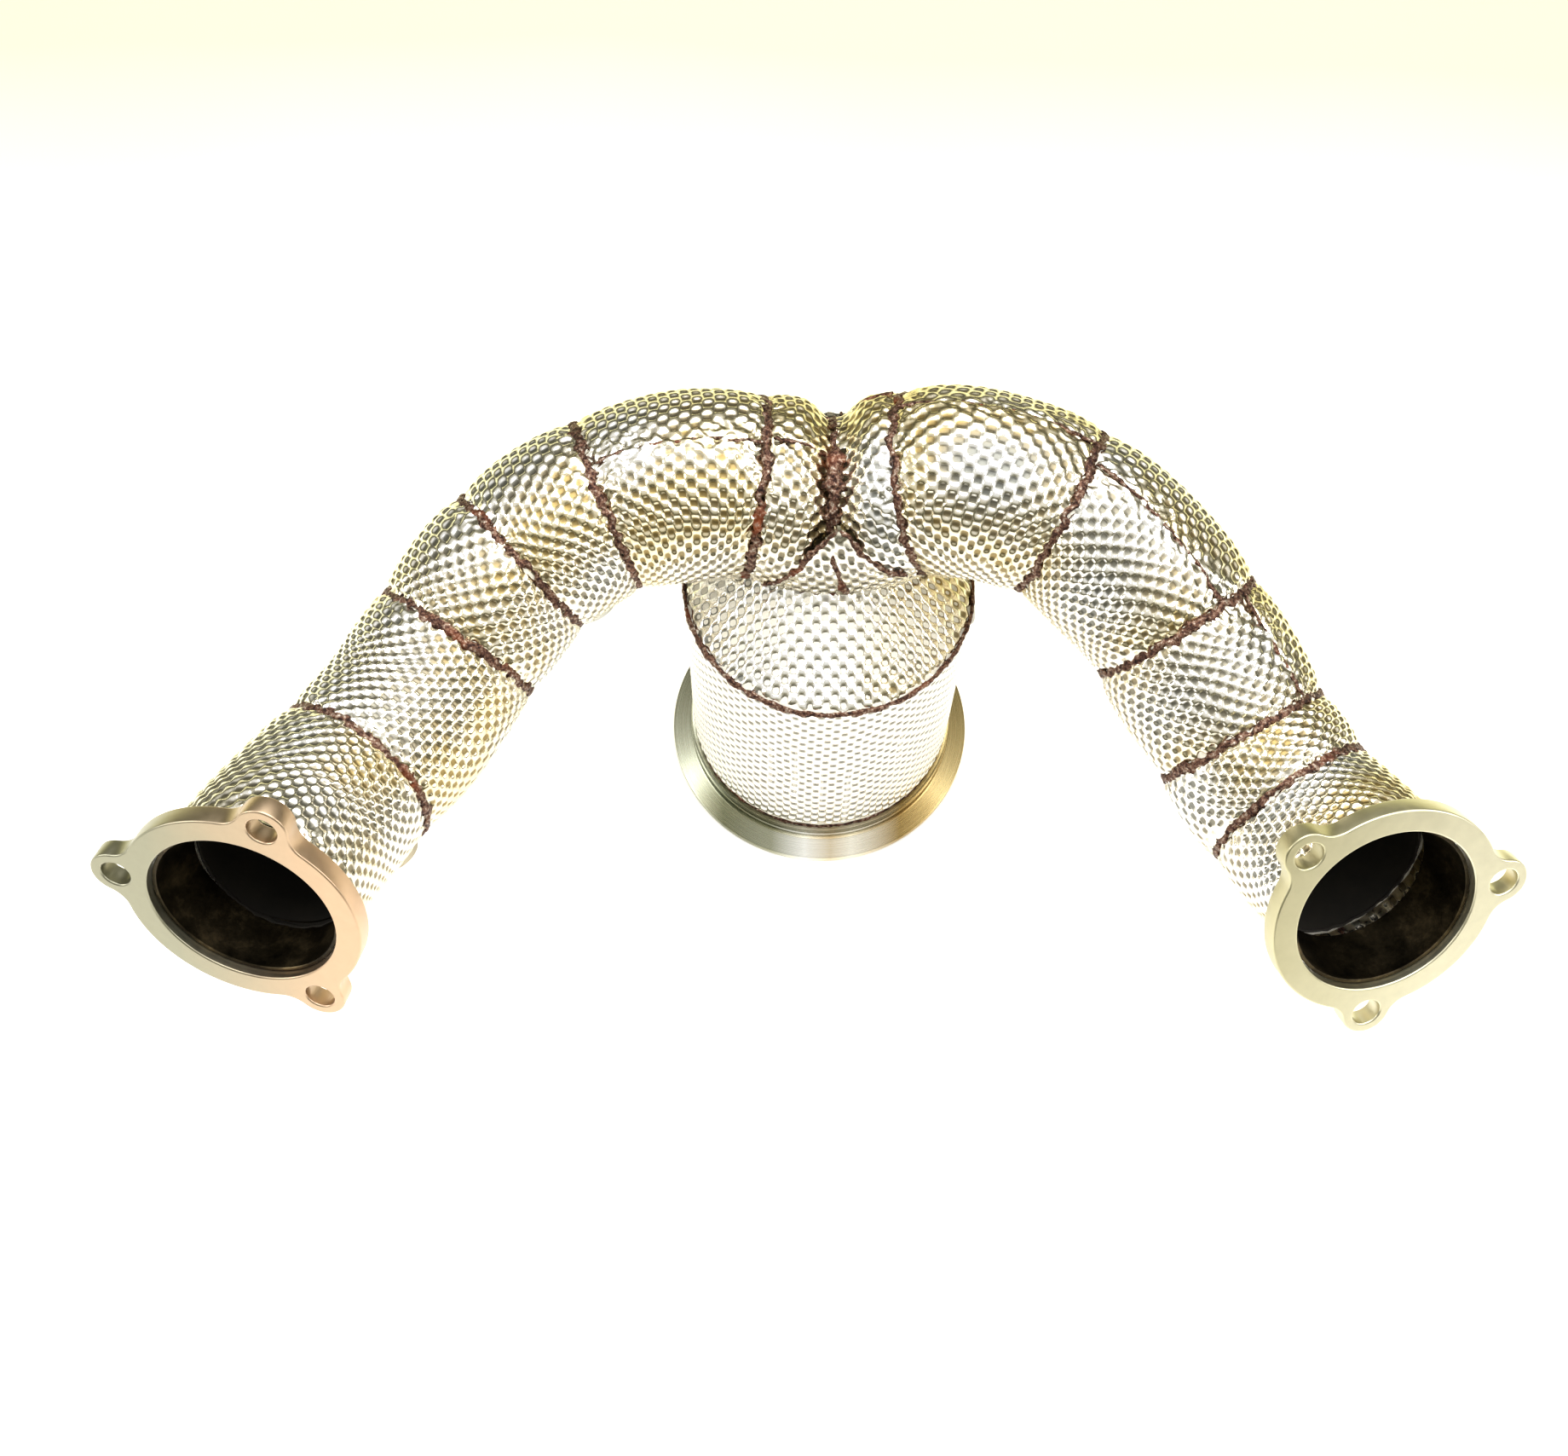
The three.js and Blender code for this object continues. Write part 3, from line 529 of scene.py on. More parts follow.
around = np.linspace(0, 2 * math.pi, 240, endpoint=False)
for side, arm in ARMS.items():
    for number, seam in enumerate(arm.seams):
        depth = np.full(around.shape, seam, float)
        radius = np.full(around.shape, WRAP_RADIUS - 1.5 + growth(seam))
        line = arm.surface(depth, around, pinched(arm, depth, around, radius))
        outward = line - arm.at(depth)[0]
        seed = 37 * number + (900 if side == "left" else 1300)
        mesh = weld_run(f"{side}_seam_{number + 1}", line, outward, 3.6, 0.9, seed, True, 1.3)
        add_piece(mesh, burnt_seam, "embossed_foil")
    for number, lap in enumerate(LAPS[side]):
        edges = [SLEEVE_START, *arm.seams, arm.length - OVERRUN]
        depth = np.linspace(edges[number] + 2, edges[number + 1] - 1, 60)
        angle = np.full(depth.shape, lap)
        radius = WRAP_RADIUS + 0.3 + growth(depth)
        line = arm.surface(depth, angle, pinched(arm, depth, angle, radius))
        outward = line - arm.at(depth)[0]
        mesh = weld_run(f"{side}_lap_{number + 1}", line, outward, 1.8, 0.6, 41 * number + 50, False, 0.7)
        add_piece(mesh, burnt_seam, "embossed_foil")


# ---------- Foil over the can's inlet cone ----------
# One flat sheet is pressed over the cone that leans back from the can to the collector, so its rows stay
# straight. It is seamed to the can's own wrap all round the rim.
CAN_WRAP = 59.9
RIM_HEIGHT = 136.0
NECK_WRAP = 36.0
CONE_HEIGHT = 24.0
CONE_LEAN = 20.0
CONE_SLANT = 34  # length down the slope

around_count = round(2 * math.pi * CAN_WRAP / GRID)
down_count = round(CONE_SLANT / GRID)
bearing = np.linspace(0, 2 * math.pi, around_count, endpoint=False)
climb, bearing = np.meshgrid(np.linspace(0, 1, down_count), bearing, indexing="ij")
reach = CAN_WRAP + (NECK_WRAP - CAN_WRAP) * climb
x, y = reach * np.sin(bearing), CONE_LEAN * climb - reach * np.cos(bearing)
z = RIM_HEIGHT + CONE_HEIGHT * climb
to_rim = (CAN_WRAP - np.hypot(x, y)) + climb * 2
under_crotch = np.exp(-(((x + 2) / 16) ** 2 + ((y + 16) / 5) ** 2))
crushed = np.clip(np.exp(-(to_rim / 2.4) ** 2) + under_crotch, 0, 1)
lattice = embossing(x, y / 0.93, 3.0, 71) * (1 - 0.75 * crushed)
lift = RELIEF * lattice + 0.7 * crushed * crumple(x, y, 72) + 0.3 * ripple(x, y, 26.0, 73)
lift -= 0.9 * np.exp(-(climb * CONE_SLANT / 1.4) ** 2)
warm = 0.75 * np.exp(-(to_rim / 1.8) ** 2) + 0.85 * np.exp(-(((x - 4) / 20) ** 2 + ((y + 17) / 7) ** 2))
warm = warm * (0.75 + 0.5 * ripple(x, y, 7.0, 74)) + 0.12 * (x > 0) * np.clip(x / 50, 0, 1)
points = np.stack([x, y - 0.35 * lift, z + 0.9 * lift], -1)
straw = np.clip(0.5 + x / 45 + 0.6 * ripple(x, y, 22.0, 75), 0, 1.6)
mesh = grid_mesh("dome_foil", points, True, {"relief": 1.3 * lattice, "heat": warm, "straw": straw})
add_piece(mesh, foil_metal, "embossed_foil", "top_foil")

rim = CAN_WRAP + 0.2
line = np.stack([np.sin(around) * rim, -np.cos(around) * rim, np.full(around.shape, RIM_HEIGHT)], 1)
outward = np.stack([np.sin(around), -np.cos(around), np.full(around.shape, 0.6)], 1)
add_piece(weld_run("rim_seam", line, outward, 2.2, 0.7, 77, True, 0.5), burnt_seam, "embossed_foil")


# ---------- Foil round the can ----------
# A straight band of the same foil wraps the can. It starts just above the outlet flange, where its edge
# is turned in against the metal, and ends under the rim seam.
WRAP_BOTTOM = 18.5
EDGE_RADIUS = 57.6  # the lower edge, turned in
CAN_BOSS_HEIGHT = 84.0
CAN_BOSS_BEARING = math.radians(22)

rows = round((RIM_HEIGHT - WRAP_BOTTOM) / 0.68)
columns = round(2 * math.pi * CAN_WRAP / 0.7)
z = np.linspace(WRAP_BOTTOM, RIM_HEIGHT, rows)
bearing = np.linspace(0, 2 * math.pi, columns, endpoint=False)
z, bearing = np.meshgrid(z, bearing, indexing="ij")
u = CAN_WRAP * bearing
near_edge = np.exp(-((z - WRAP_BOTTOM) / 1.5) ** 2)
near_rim = np.exp(-((RIM_HEIGHT - z) / 2.0) ** 2)
lattice = embossing(u, z, 0.0, 81) * (1 - 0.85 * np.clip(near_edge + near_rim, 0, 1))
radius = CAN_WRAP + 0.8 * RELIEF * lattice + 0.25 * ripple(u, z, 30.0, 82)
radius = radius + 0.3 * near_rim * crumple(u, z, 83)
radius = radius * (1 - near_edge) + EDGE_RADIUS * near_edge - 0.4 * near_rim
points = np.stack([radius * np.sin(bearing), radius * np.cos(bearing), z], -1)
can_out = np.array([math.cos(CAN_BOSS_BEARING), math.sin(CAN_BOSS_BEARING), 0])
keep = away_from_bosses(points, [(np.array([0, 0, CAN_BOSS_HEIGHT]), can_out)])
measures = {"relief": 0.8 * lattice, "heat": 0.45 * near_rim + 0.5 * near_edge, "straw": 0.3 + 0 * lattice}
mesh = grid_mesh("can_foil_band", points, True, measures, keep)
add_piece(mesh, foil_metal, "embossed_foil", "can_foil")
lap_z = np.linspace(WRAP_BOTTOM + 2, RIM_HEIGHT - 1, 60)
line = np.stack([np.zeros(60), np.full(60, CAN_WRAP + 0.2), lap_z], 1)
mesh = weld_run("can_lap", line, np.tile([0, 1.0, 0], (60, 1)), 1.8, 0.6, 85, False, 0.6)
add_piece(mesh, burnt_seam, "embossed_foil")


# ---------- Crotch patch and merge seam ----------
# Where the arms meet, a triangle of foil covers the crotch in front and another behind. The joint over
# them is closed with a thick dark run of weld.
coarse = {}
for side, arm in ARMS.items():
    depth = np.arange(arm.seams[-2], arm.length, 1.5)
    angle = np.linspace(0, 2 * math.pi, 120, endpoint=False)
    depth, angle = np.meshgrid(depth, angle, indexing="ij")
    radius = WRAP_RADIUS + 0.3 + growth(depth)
    coarse[side] = arm.surface(depth, angle, radius)


def tree_of(points):
    """A tree for ray casts, from rows of points closed round each row."""
    rows, columns = points.shape[:2]
    index = np.arange(rows * columns).reshape(rows, columns)
    right = np.roll(index, -1, axis=1)
    quads = np.stack([index[:-1], right[:-1], right[1:], index[1:]], -1).reshape(-1, 4)
    return BVHTree.FromPolygons(points.reshape(-1, 3).tolist(), quads.tolist())


arm_trees = [tree_of(points) for points in coarse.values()]
SADDLE_STEP = 0.65  # spacing of the mesh points
SADDLE = [(2, 62), (-9, 49), (-17, 37), (-26, 26), (-27, 5), (30, 5), (30, 39), (23, 43), (13, 51)]


def front_of(x, z, way):
    """Where the arms' skin stands at x and z, seen along Y; way is 1 from the front and -1 from behind."""
    hits = [skin.ray_cast(Vector((x, -300 * way, z)), Vector((0, way, 0)))[0] for skin in arm_trees]
    depths = [hit.y * way for hit in hits if hit is not None]
    return min(depths) * way if depths else None


def inside_outline(x, z):
    """Whether a place is inside the patch's outline."""
    inside = False
    for (ax, az), (bx, bz) in zip(SADDLE, SADDLE[1:] + SADDLE[:1]):
        if (az > z) != (bz > z) and x < ax + (bx - ax) * (z - az) / (bz - az):
            inside = not inside
    return inside


def edge_distance(x, z):
    """How far a place is from the patch's outline."""
    gaps = []
    for (ax, az), (bx, bz) in zip(SADDLE, SADDLE[1:] + SADDLE[:1]):
        along = ((x - ax) * (bx - ax) + (z - az) * (bz - az)) / ((bx - ax) ** 2 + (bz - az) ** 2)
        along = min(1, max(0, along))
        gaps.append(math.hypot(x - ax - along * (bx - ax), z - az - along * (bz - az)))
    return min(gaps)


PATCHES = [  # name, way it is seen, the CAD node it stands for, and how high it reaches over the can
    ("front_crotch_patch", 1, "front_saddle_foil", 62),
    ("rear_crotch_patch", -1, "rear_saddle_foil", 40),
]
for name, way, node, top in PATCHES:
    xs, zs = np.arange(-28, 31, SADDLE_STEP), np.arange(4, 63, SADDLE_STEP)
    skin = np.full((len(zs), len(xs)), np.nan)
    for i, zz in enumerate(zs):
        for j, xx in enumerate(xs):
            found = front_of(xx, CAN_TOP + zz, way)
            if found is not None:
                skin[i, j] = found
    keep = np.array([[inside_outline(xx, zz) and zz < top for xx in xs] for zz in zs]) & np.isfinite(skin)
    margin = np.array([[edge_distance(xx, zz) for xx in xs] for zz in zs])
    skin = np.where(np.isfinite(skin), skin, 0.0)
    for _ in range(40):
        spread = (np.roll(skin, 1, 1) + np.roll(skin, -1, 1) + np.roll(skin, 1, 0) + np.roll(skin, -1, 0)) / 4
        skin = np.where(keep & (margin > 2.0), spread, skin)
    x, z = np.meshgrid(xs, zs)
    crushed = np.clip(np.exp(-(margin / 2.5) ** 2) + np.exp(-((x - 0.25 * (50 - z)) / 2.2) ** 2), 0, 1)
    lattice = embossing(x, z, 12.0, 91) * (1 - 0.8 * crushed)
    lift = 1.1 + RELIEF * lattice + 0.5 * crushed * crumple(x, z, 92)
    points = np.stack([x, skin - way * lift, z + CAN_TOP], -1)
    warm = 0.8 * np.exp(-(margin / 2.6) ** 2) * (0.8 + 0.4 * ripple(x, z, 6.0, 93))
    mesh = grid_mesh(name, points, False, {"relief": lattice, "heat": warm, "straw": 0.5 + 0 * lattice}, keep)
    if way == -1:
        mesh.flip_normals()
    add_piece(mesh, foil_metal, "embossed_foil", node)
    left_edge = [(2, 62), (-9, 49), (-17, 37), (-26, 26), (-27, 12)]
    right_edge = [(2, 62), (13, 51), (23, 43), (30, 39)]
    middle = [(0, 50), (2, 42), (4, 34), (7, 26)]
    for tag, corners in (("left", left_edge), ("right", right_edge), ("middle", middle)):
        line = []
        for (ax, az), (bx, bz) in zip(corners[:-1], corners[1:]):
            line += [(ax + (bx - ax) * t, az + (bz - az) * t) for t in np.linspace(0, 1, 14, endpoint=False)]
        path = [(xx, front_of(xx, zz + CAN_TOP, way), zz + CAN_TOP) for xx, zz in line if zz < top]
        path = np.array([p for p in path if p[1] is not None])
        path[:, 1] -= way * (1.6 if tag == "middle" else 0.9)
        facing = np.tile([0.0, -way, 0.35], (len(path), 1))
        mesh = weld_run(f"{name}_{tag}_seam", path, facing, 2.4, 0.8, 95 + len(tag), False, 0.6)
        add_piece(mesh, burnt_seam, "embossed_foil")

ring = []
for angle in around:
    depth = np.arange(ARMS["right"].seams[-1], ARMS["right"].length, 0.4)
    angles = np.full(depth.shape, angle)
    radius = pinched(ARMS["right"], depth, angles, np.full(depth.shape, WRAP_RADIUS + SWELL))
    points = ARMS["right"].surface(depth, angles, radius)
    ring.append(points[np.abs(points[:, 0]).argmin()])
ring = np.array(ring)
outward = ring - ring.mean(axis=0)
add_piece(weld_run("merge_seam", ring, outward, 4.2, 1.3, 97, True), burnt_seam, "embossed_foil")
crotch = ring[(ring[:, 2] > 190) & (ring[:, 1] < 20)]
crotch = crotch[np.argsort(crotch[:, 1])]
lifted = crotch + unit(crotch - ring.mean(axis=0)) * 1.6
mesh = weld_run("crotch_weld", lifted, crotch - ring.mean(axis=0), 7.5, 2.0, 98, False, 0.6)
add_piece(mesh, burnt_seam, "embossed_foil")
foot_x = np.linspace(-26, 20, 30)
foot_y = np.interp(foot_x, [-26, 0, 20], [-12, -16.5, -12])
foot_z = RIM_HEIGHT + CONE_HEIGHT * np.interp(-foot_y, [16, 60], [1.0, 0.0]) + 0.3
foot = np.stack([foot_x, foot_y, foot_z], 1)
mesh = weld_run("crotch_foot_seam", foot, np.tile([0, -0.6, 0.8], (30, 1)), 2.6, 0.9, 99, False)
add_piece(mesh, burnt_seam, "embossed_foil")


# ---------- Inlet flanges ----------
# Each is a stainless plate 8 mm thick, cut to a disc with three bolt lugs, drilled 11 mm and faced on a
# lathe, so its face is satin and its rim brighter. Heat has warmed it from grey to straw.
BORE_RADIUS = 35.0
DISC_RADIUS = 44.5
BOLT_CIRCLE = 46.5  # radius of the circle of bolts
BOLT_HOLE = 5.5
LUG_RADIUS = 9.5
BLEND_RADIUS = 10.0
BOLT_STEPS = (0, 98, 229.5)  # degrees from the first bolt
FLANGE_THICKNESS = 8.0
EDGE_ROUND = 0.7


def arc(centre, radius, start, end, step):
    """Points of an arc; its angles and its step are in degrees."""
    count = max(2, math.ceil(abs(end - start) / step))
    turns = np.radians(np.linspace(start, end, count + 1))
    return [(centre[0] + radius * math.cos(t), centre[1] + radius * math.sin(t)) for t in turns]


def polar(radius, degrees):
    """The place at a radius and an angle."""
    return radius * math.cos(math.radians(degrees)), radius * math.sin(math.radians(degrees))


def flange_outline(clocking):
    """The disc with a round lug at each bolt, blended in by a hollow arc on both sides."""
    to_blend, lug_to_blend = DISC_RADIUS + BLEND_RADIUS, LUG_RADIUS + BLEND_RADIUS
    cosine = (to_blend ** 2 + BOLT_CIRCLE ** 2 - lug_to_blend ** 2) / (2 * to_blend * BOLT_CIRCLE)
    spread = math.degrees(math.acos(cosine))
    points = []
    for i, step in enumerate(BOLT_STEPS):
        angle = clocking + step
        following = clocking + (BOLT_STEPS[i + 1] if i < 2 else 360)
        lug = polar(BOLT_CIRCLE, angle)
        blends = [polar(to_blend, angle - spread), polar(to_blend, angle + spread)]
        facing = [math.degrees(math.atan2(b[1] - lug[1], b[0] - lug[0])) for b in blends]
        lug_from = angle - (angle - facing[0] + 720) % 360
        lug_to = angle + (facing[1] - angle + 720) % 360
        points += arc(blends[0], BLEND_RADIUS, angle - spread + 180, lug_from + 180, 6)[:-1]
        points += arc(lug, LUG_RADIUS, lug_from, lug_to, 6)[:-1]
        points += arc(blends[1], BLEND_RADIUS, lug_to + 180, angle + spread + 180, 6)[:-1]
        points += arc((0, 0), DISC_RADIUS, angle + spread, following - spread, 3)[:-1]
    return points


def plate(name, outlines, thickness, rounding):
    """A flat plate with rounded edges from closed outlines, the outer one first. Its face is at zero."""
    curve = bpy.data.curves.new(name, "CURVE")
    curve.dimensions = "2D"
    curve.fill_mode = "BOTH"
    curve.extrude = (thickness / 2 - rounding) * MM
    curve.bevel_depth = rounding * MM
    curve.bevel_resolution = 3
    curve.offset = -rounding * MM
    for outline in outlines:
        spline = curve.splines.new("POLY")
        spline.points.add(len(outline) - 1)
        corners = np.array([(px * MM, py * MM, 0, 1) for px, py in outline], np.float32)
        spline.points.foreach_set("co", corners.ravel())
        spline.use_cyclic_u = True
    holder = bpy.data.objects.new(name, curve)
    bpy.context.scene.collection.objects.link(holder)
    made = holder.evaluated_get(bpy.context.evaluated_depsgraph_get())
    mesh = bpy.data.meshes.new_from_object(made)
    bpy.data.objects.remove(holder)
    bpy.data.curves.remove(curve)
    mesh.name = name
    mesh.transform(Matrix.Translation((0, 0, -thickness / 2 * MM)))
    return mesh


def seat_matrix(arm):
    """From the flange's own frame, with its face towards +Z, to the part's."""
    across = unit(np.cross([0, 0, 1.0], arm.facing))
    upward = np.cross(arm.facing, across)
    turn = Matrix((Vector(across), Vector(upward), Vector(arm.facing))).transposed().to_4x4()
    return Matrix.Translation(Vector(arm.centre) * MM) @ turn


def smooth_edges(mesh, degrees=32):
    """Shades a mesh smooth, apart from edges sharper than the angle."""
    mesh.shade_smooth()
    mesh.set_sharp_from_angle(angle=math.radians(degrees))


def flange_steel(name, cool, warm_shade, from_x, to_x):
    """Faced stainless, satin and softly blurred, whose heat tint runs from cool to warm across it."""
    material, tree, shader, place = new_material(name)
    across = add(tree, "ShaderNodeSeparateXYZ", {"Vector": place}).outputs["X"]
    cloud = add(tree, "ShaderNodeTexNoise", {"Vector": place, "Scale": 1 / (22 * MM), "Detail": 3.0})
    shift = add(tree, "ShaderNodeMath", {
        0: cloud.outputs["Fac"], 1: 24 * MM, 2: across,
    }, operation="MULTIPLY_ADD")
    share = add(tree, "ShaderNodeMapRange", {
        "Value": shift.outputs["Value"], "From Min": from_x * MM, "From Max": to_x * MM,
    })
    tone = add(tree, "ShaderNodeMix", {"Factor": share.outputs["Result"]}, data_type="RGBA")
    tone.inputs["A"].default_value = linear(cool)
    tone.inputs["B"].default_value = linear(warm_shade)
    smudge = add(tree, "ShaderNodeTexNoise", {"Vector": place, "Scale": 1 / (4 * MM), "Detail": 5.0})
    dull = add(tree, "ShaderNodeMapRange", {"Value": smudge.outputs["Fac"], "To Min": 0.88, "To Max": 1.06})
    shaded = add(tree, "ShaderNodeMix", {
        "Factor": 1.0, "A": tone.outputs["Result"], "B": dull.outputs["Result"],
    }, data_type="RGBA", blend_type="MULTIPLY")
    tree.links.new(shaded.outputs["Result"], shader.inputs["Base Color"])
    shader.inputs["Metallic"].default_value = 1.0
    satin = add(tree, "ShaderNodeMapRange", {"Value": smudge.outputs["Fac"], "To Min": 0.3, "To Max": 0.42})
    tree.links.new(satin.outputs["Result"], shader.inputs["Roughness"])
    # The marks of facing are drawn 0.5 mm across, coarser than real ones, so that they show.
    grit = add(tree, "ShaderNodeTexNoise", {"Vector": place, "Scale": 1 / (0.5 * MM), "Detail": 2.0})
    bump = add(tree, "ShaderNodeBump", {
        "Height": grit.outputs["Fac"], "Strength": 0.12, "Distance": 0.05 * MM,
    })
    tree.links.new(bump.outputs["Normal"], shader.inputs["Normal"])
    return material


left_steel = flange_steel("faced_stainless_grey_to_straw", "#9c9a85", "#cdaf90", -225, -160)
right_steel = flange_steel("faced_stainless_pale_straw", "#bdb793", "#dcd7bb", 170, 240)
boss_steel = flange_steel("turned_stainless_boss", "#a99a78", "#b9b7ae", -170, -120)

for side, arm in ARMS.items():
    holes = [arc(polar(BOLT_CIRCLE, arm.clocking + step), BOLT_HOLE, 0, 350, 10) for step in BOLT_STEPS]
    outlines = [flange_outline(arm.clocking), arc((0, 0), BORE_RADIUS, 0, 357, 3), *holes]
    mesh = plate(f"{side}_flange_plate", outlines, FLANGE_THICKNESS, EDGE_ROUND)
    mesh.transform(seat_matrix(arm))
    smooth_edges(mesh)
    steel = left_steel if side == "left" else right_steel
    add_piece(mesh, steel, "flange_steel", f"{side}_inlet_flange")


# ---------- Inlet cones and bent pipes ----------
# Drawn stainless tube, 63.5 mm by 1.5 mm, bent on a mandrel. A spun cone is welded into each flange
# from behind, 3.5 mm below its face. Exhaust has browned the bore, and the pipes farther in are painted near
# black: soot, together with painted shade deep in the bore.
PIPE_RADIUS = 31.75
PIPE_WALL = 1.5
CONE_DEPTH = 26.0
MOUTH_RADIUS = 34.7


def lathe(profile, sides):
    """A closed profile of radius and height turned about Z."""
    profile = np.array([*profile, profile[0]], float)
    turns = np.linspace(0, 2 * math.pi, sides, endpoint=False)
    return np.stack([
        profile[:, :1] * np.cos(turns), profile[:, :1] * np.sin(turns),
        np.broadcast_to(profile[:, 1:], (len(profile), sides)),
    ], -1)


def weld_rows(mesh):
    """Joins the first and last row of a turned or swept ring."""
    shape = bmesh.new()
    shape.from_mesh(mesh)
    bmesh.ops.remove_doubles(shape, verts=shape.verts, dist=1e-6)
    bmesh.ops.recalc_face_normals(shape, faces=shape.faces)
    shape.to_mesh(mesh)
    shape.free()
    smooth_edges(mesh)
    return mesh


# Hot exhaust browns drawn stainless unevenly: it stays metal, but dull, with dark cloudy patches.
bore_steel, tree, shader, place = new_material("browned_drawn_stainless")
soot = add(tree, "ShaderNodeTexNoise", {
    "Vector": place, "Scale": 1 / (14 * MM), "Detail": 5.0, "Roughness": 0.65,
})
scale_tint = add(tree, "ShaderNodeValToRGB", {"Fac": soot.outputs["Fac"]})
scale_tint.color_ramp.elements[0].position = 0.35
scale_tint.color_ramp.elements[0].color = linear("#211d15")
scale_tint.color_ramp.elements[1].position = 0.7
scale_tint.color_ramp.elements[1].color = linear("#75664a")
scale_tint.color_ramp.elements.new(0.52).color = linear("#3f3728")
tree.links.new(scale_tint.outputs["Color"], shader.inputs["Base Color"])
shader.inputs["Metallic"].default_value = 1.0
fine = add(tree, "ShaderNodeTexNoise", {"Vector": place, "Scale": 1 / (1.2 * MM), "Detail": 4.0})
dulled = add(tree, "ShaderNodeMapRange", {"Value": fine.outputs["Fac"], "To Min": 0.32, "To Max": 0.55})
tree.links.new(dulled.outputs["Result"], shader.inputs["Roughness"])
bump = add(tree, "ShaderNodeBump", {"Height": fine.outputs["Fac"], "Strength": 0.3, "Distance": 0.15 * MM})
tree.links.new(bump.outputs["Normal"], shader.inputs["Normal"])

# Farther in, the pipes are painted near black: soot, together with painted shade where little light reaches
# deep in the bore.
soot_and_shade_black, tree, shader, place = new_material("sooted_drawn_stainless")
cake = add(tree, "ShaderNodeTexNoise", {"Vector": place, "Scale": 1 / (11 * MM), "Detail": 4.0})
black = add(tree, "ShaderNodeMix", {"Factor": cake.outputs["Fac"]}, data_type="RGBA")
black.inputs["A"].default_value = linear("#0b0a08")
black.inputs["B"].default_value = linear("#2a251c")
tree.links.new(black.outputs["Result"], shader.inputs["Base Color"])
shader.inputs["Metallic"].default_value = 0.4
shader.inputs["Roughness"].default_value = 0.8
bump = add(tree, "ShaderNodeBump", {"Height": cake.outputs["Fac"], "Strength": 0.3, "Distance": 0.4 * MM})
tree.links.new(bump.outputs["Normal"], shader.inputs["Normal"])

for side, arm in ARMS.items():
    seat = seat_matrix(arm)
    foot = seat.inverted() @ (Vector(arm.at(CONE_DEPTH)[0]) * MM)
    shoulder, end = -FLANGE_THICKNESS - 2, -CONE_DEPTH + 0.3
    outside = [(PIPE_RADIUS, end), (MOUTH_RADIUS, shoulder), (MOUTH_RADIUS, -3.8), (MOUTH_RADIUS - 0.3, -3.5)]
    inside = [(radius - PIPE_WALL, height) for radius, height in reversed(outside)]
    inside[0] = (MOUTH_RADIUS - PIPE_WALL + 0.3, -3.5)
    points = lathe([*outside, *inside], 128)
    share = np.clip((shoulder - points[..., 2]) / (shoulder - end), 0, 1)
    points[..., 0] += share * foot.x / MM
    points[..., 1] += share * foot.y / MM
    mesh = weld_rows(grid_mesh(f"{side}_spun_cone", points, True, {}))
    mesh.transform(seat)
    add_piece(mesh, bore_steel, "pipe_steel", f"{side}_inlet_cone")
    port = arm.seams[-1]
    turns = np.linspace(0, 2 * math.pi, 96, endpoint=False)
    for part, start, stop in (("front", CONE_DEPTH + 0.6, arm.joint - 0.3), ("rear", arm.joint, port - 0.3)):
        outer = np.linspace(start, stop, round((stop - start) / 3) + 1)
        depth = np.concatenate([outer, outer[::-1], outer[:1]])
        outside = np.full(len(outer), PIPE_RADIUS)
        radius = np.concatenate([outside, outside - PIPE_WALL, outside[:1]])
        depth, angle = np.meshgrid(depth, turns, indexing="ij")
        points = arm.surface(depth, angle, np.broadcast_to(radius[:, None], depth.shape))
        mesh = weld_rows(grid_mesh(f"{side}_{part}_tube", points, True, {}))
        add_piece(mesh, soot_and_shade_black, "pipe_steel", f"{side}_{part}_pipe")
    depth = np.full(around.shape, CONE_DEPTH + 0.3)
    line = arm.surface(depth, around, np.full(around.shape, PIPE_RADIUS - PIPE_WALL + 0.2))
    inward = arm.at(depth)[0] - line
    mesh = weld_run(f"{side}_bore_weld", line, inward, 1.6, 0.35, 120, True, 0.3)
    add_piece(mesh, soot_and_shade_black, "pipe_steel")

for name in ("merge_collector", "can_inlet_cone"):
    nodes[name].data.materials.clear()
    nodes[name].data.materials.append(bore_steel)


# ---------- Can and outlet flange ----------
# The can is 114.3 mm stainless tube. Its outlet flange is turned from bar: a thin rim, a back that slopes
# at 20 degrees for the clamp, and a neck into which the can is welded.
CAN_RADIUS = 57.15
CAN_WALL = 1.5
OUTLET_RADIUS = 70.2
NECK_RADIUS = 61.45

# Turning leaves rings that drag the highlights out sideways. The broad bands of light and dark across the
# face are painted highlights and painted shade in the colour, laid from left to right between a grey-green
# left and a gold right. The rings are drawn 0.35 mm apart, which is coarser than the tool's real feed, so
# that they show.
turned_steel, tree, shader, place = new_material("turned_stainless_flange")
split = add(tree, "ShaderNodeSeparateXYZ", {"Vector": place})
flat = add(tree, "ShaderNodeCombineXYZ", {"X": split.outputs["X"], "Y": split.outputs["Y"]})
ring_place = add(tree, "ShaderNodeVectorMath", {0: flat.outputs["Vector"]}, operation="LENGTH")
rings_at = add(tree, "ShaderNodeMath", {
    0: ring_place.outputs["Value"], 1: split.outputs["Z"],
}, operation="ADD")
rings = add(tree, "ShaderNodeTexNoise", {
    "W": rings_at.outputs["Value"], "Scale": 1 / (0.35 * MM), "Detail": 3.0,
}, noise_dimensions="1D")
span = add(tree, "ShaderNodeMapRange", {
    "Value": split.outputs["X"], "From Min": -60 * MM, "From Max": 60 * MM,
})
tint = add(tree, "ShaderNodeValToRGB", {"Fac": span.outputs["Result"]})
tint.color_ramp.elements[0].color = linear("#c4c6b2")
tint.color_ramp.elements[1].color = linear("#d8c28c")
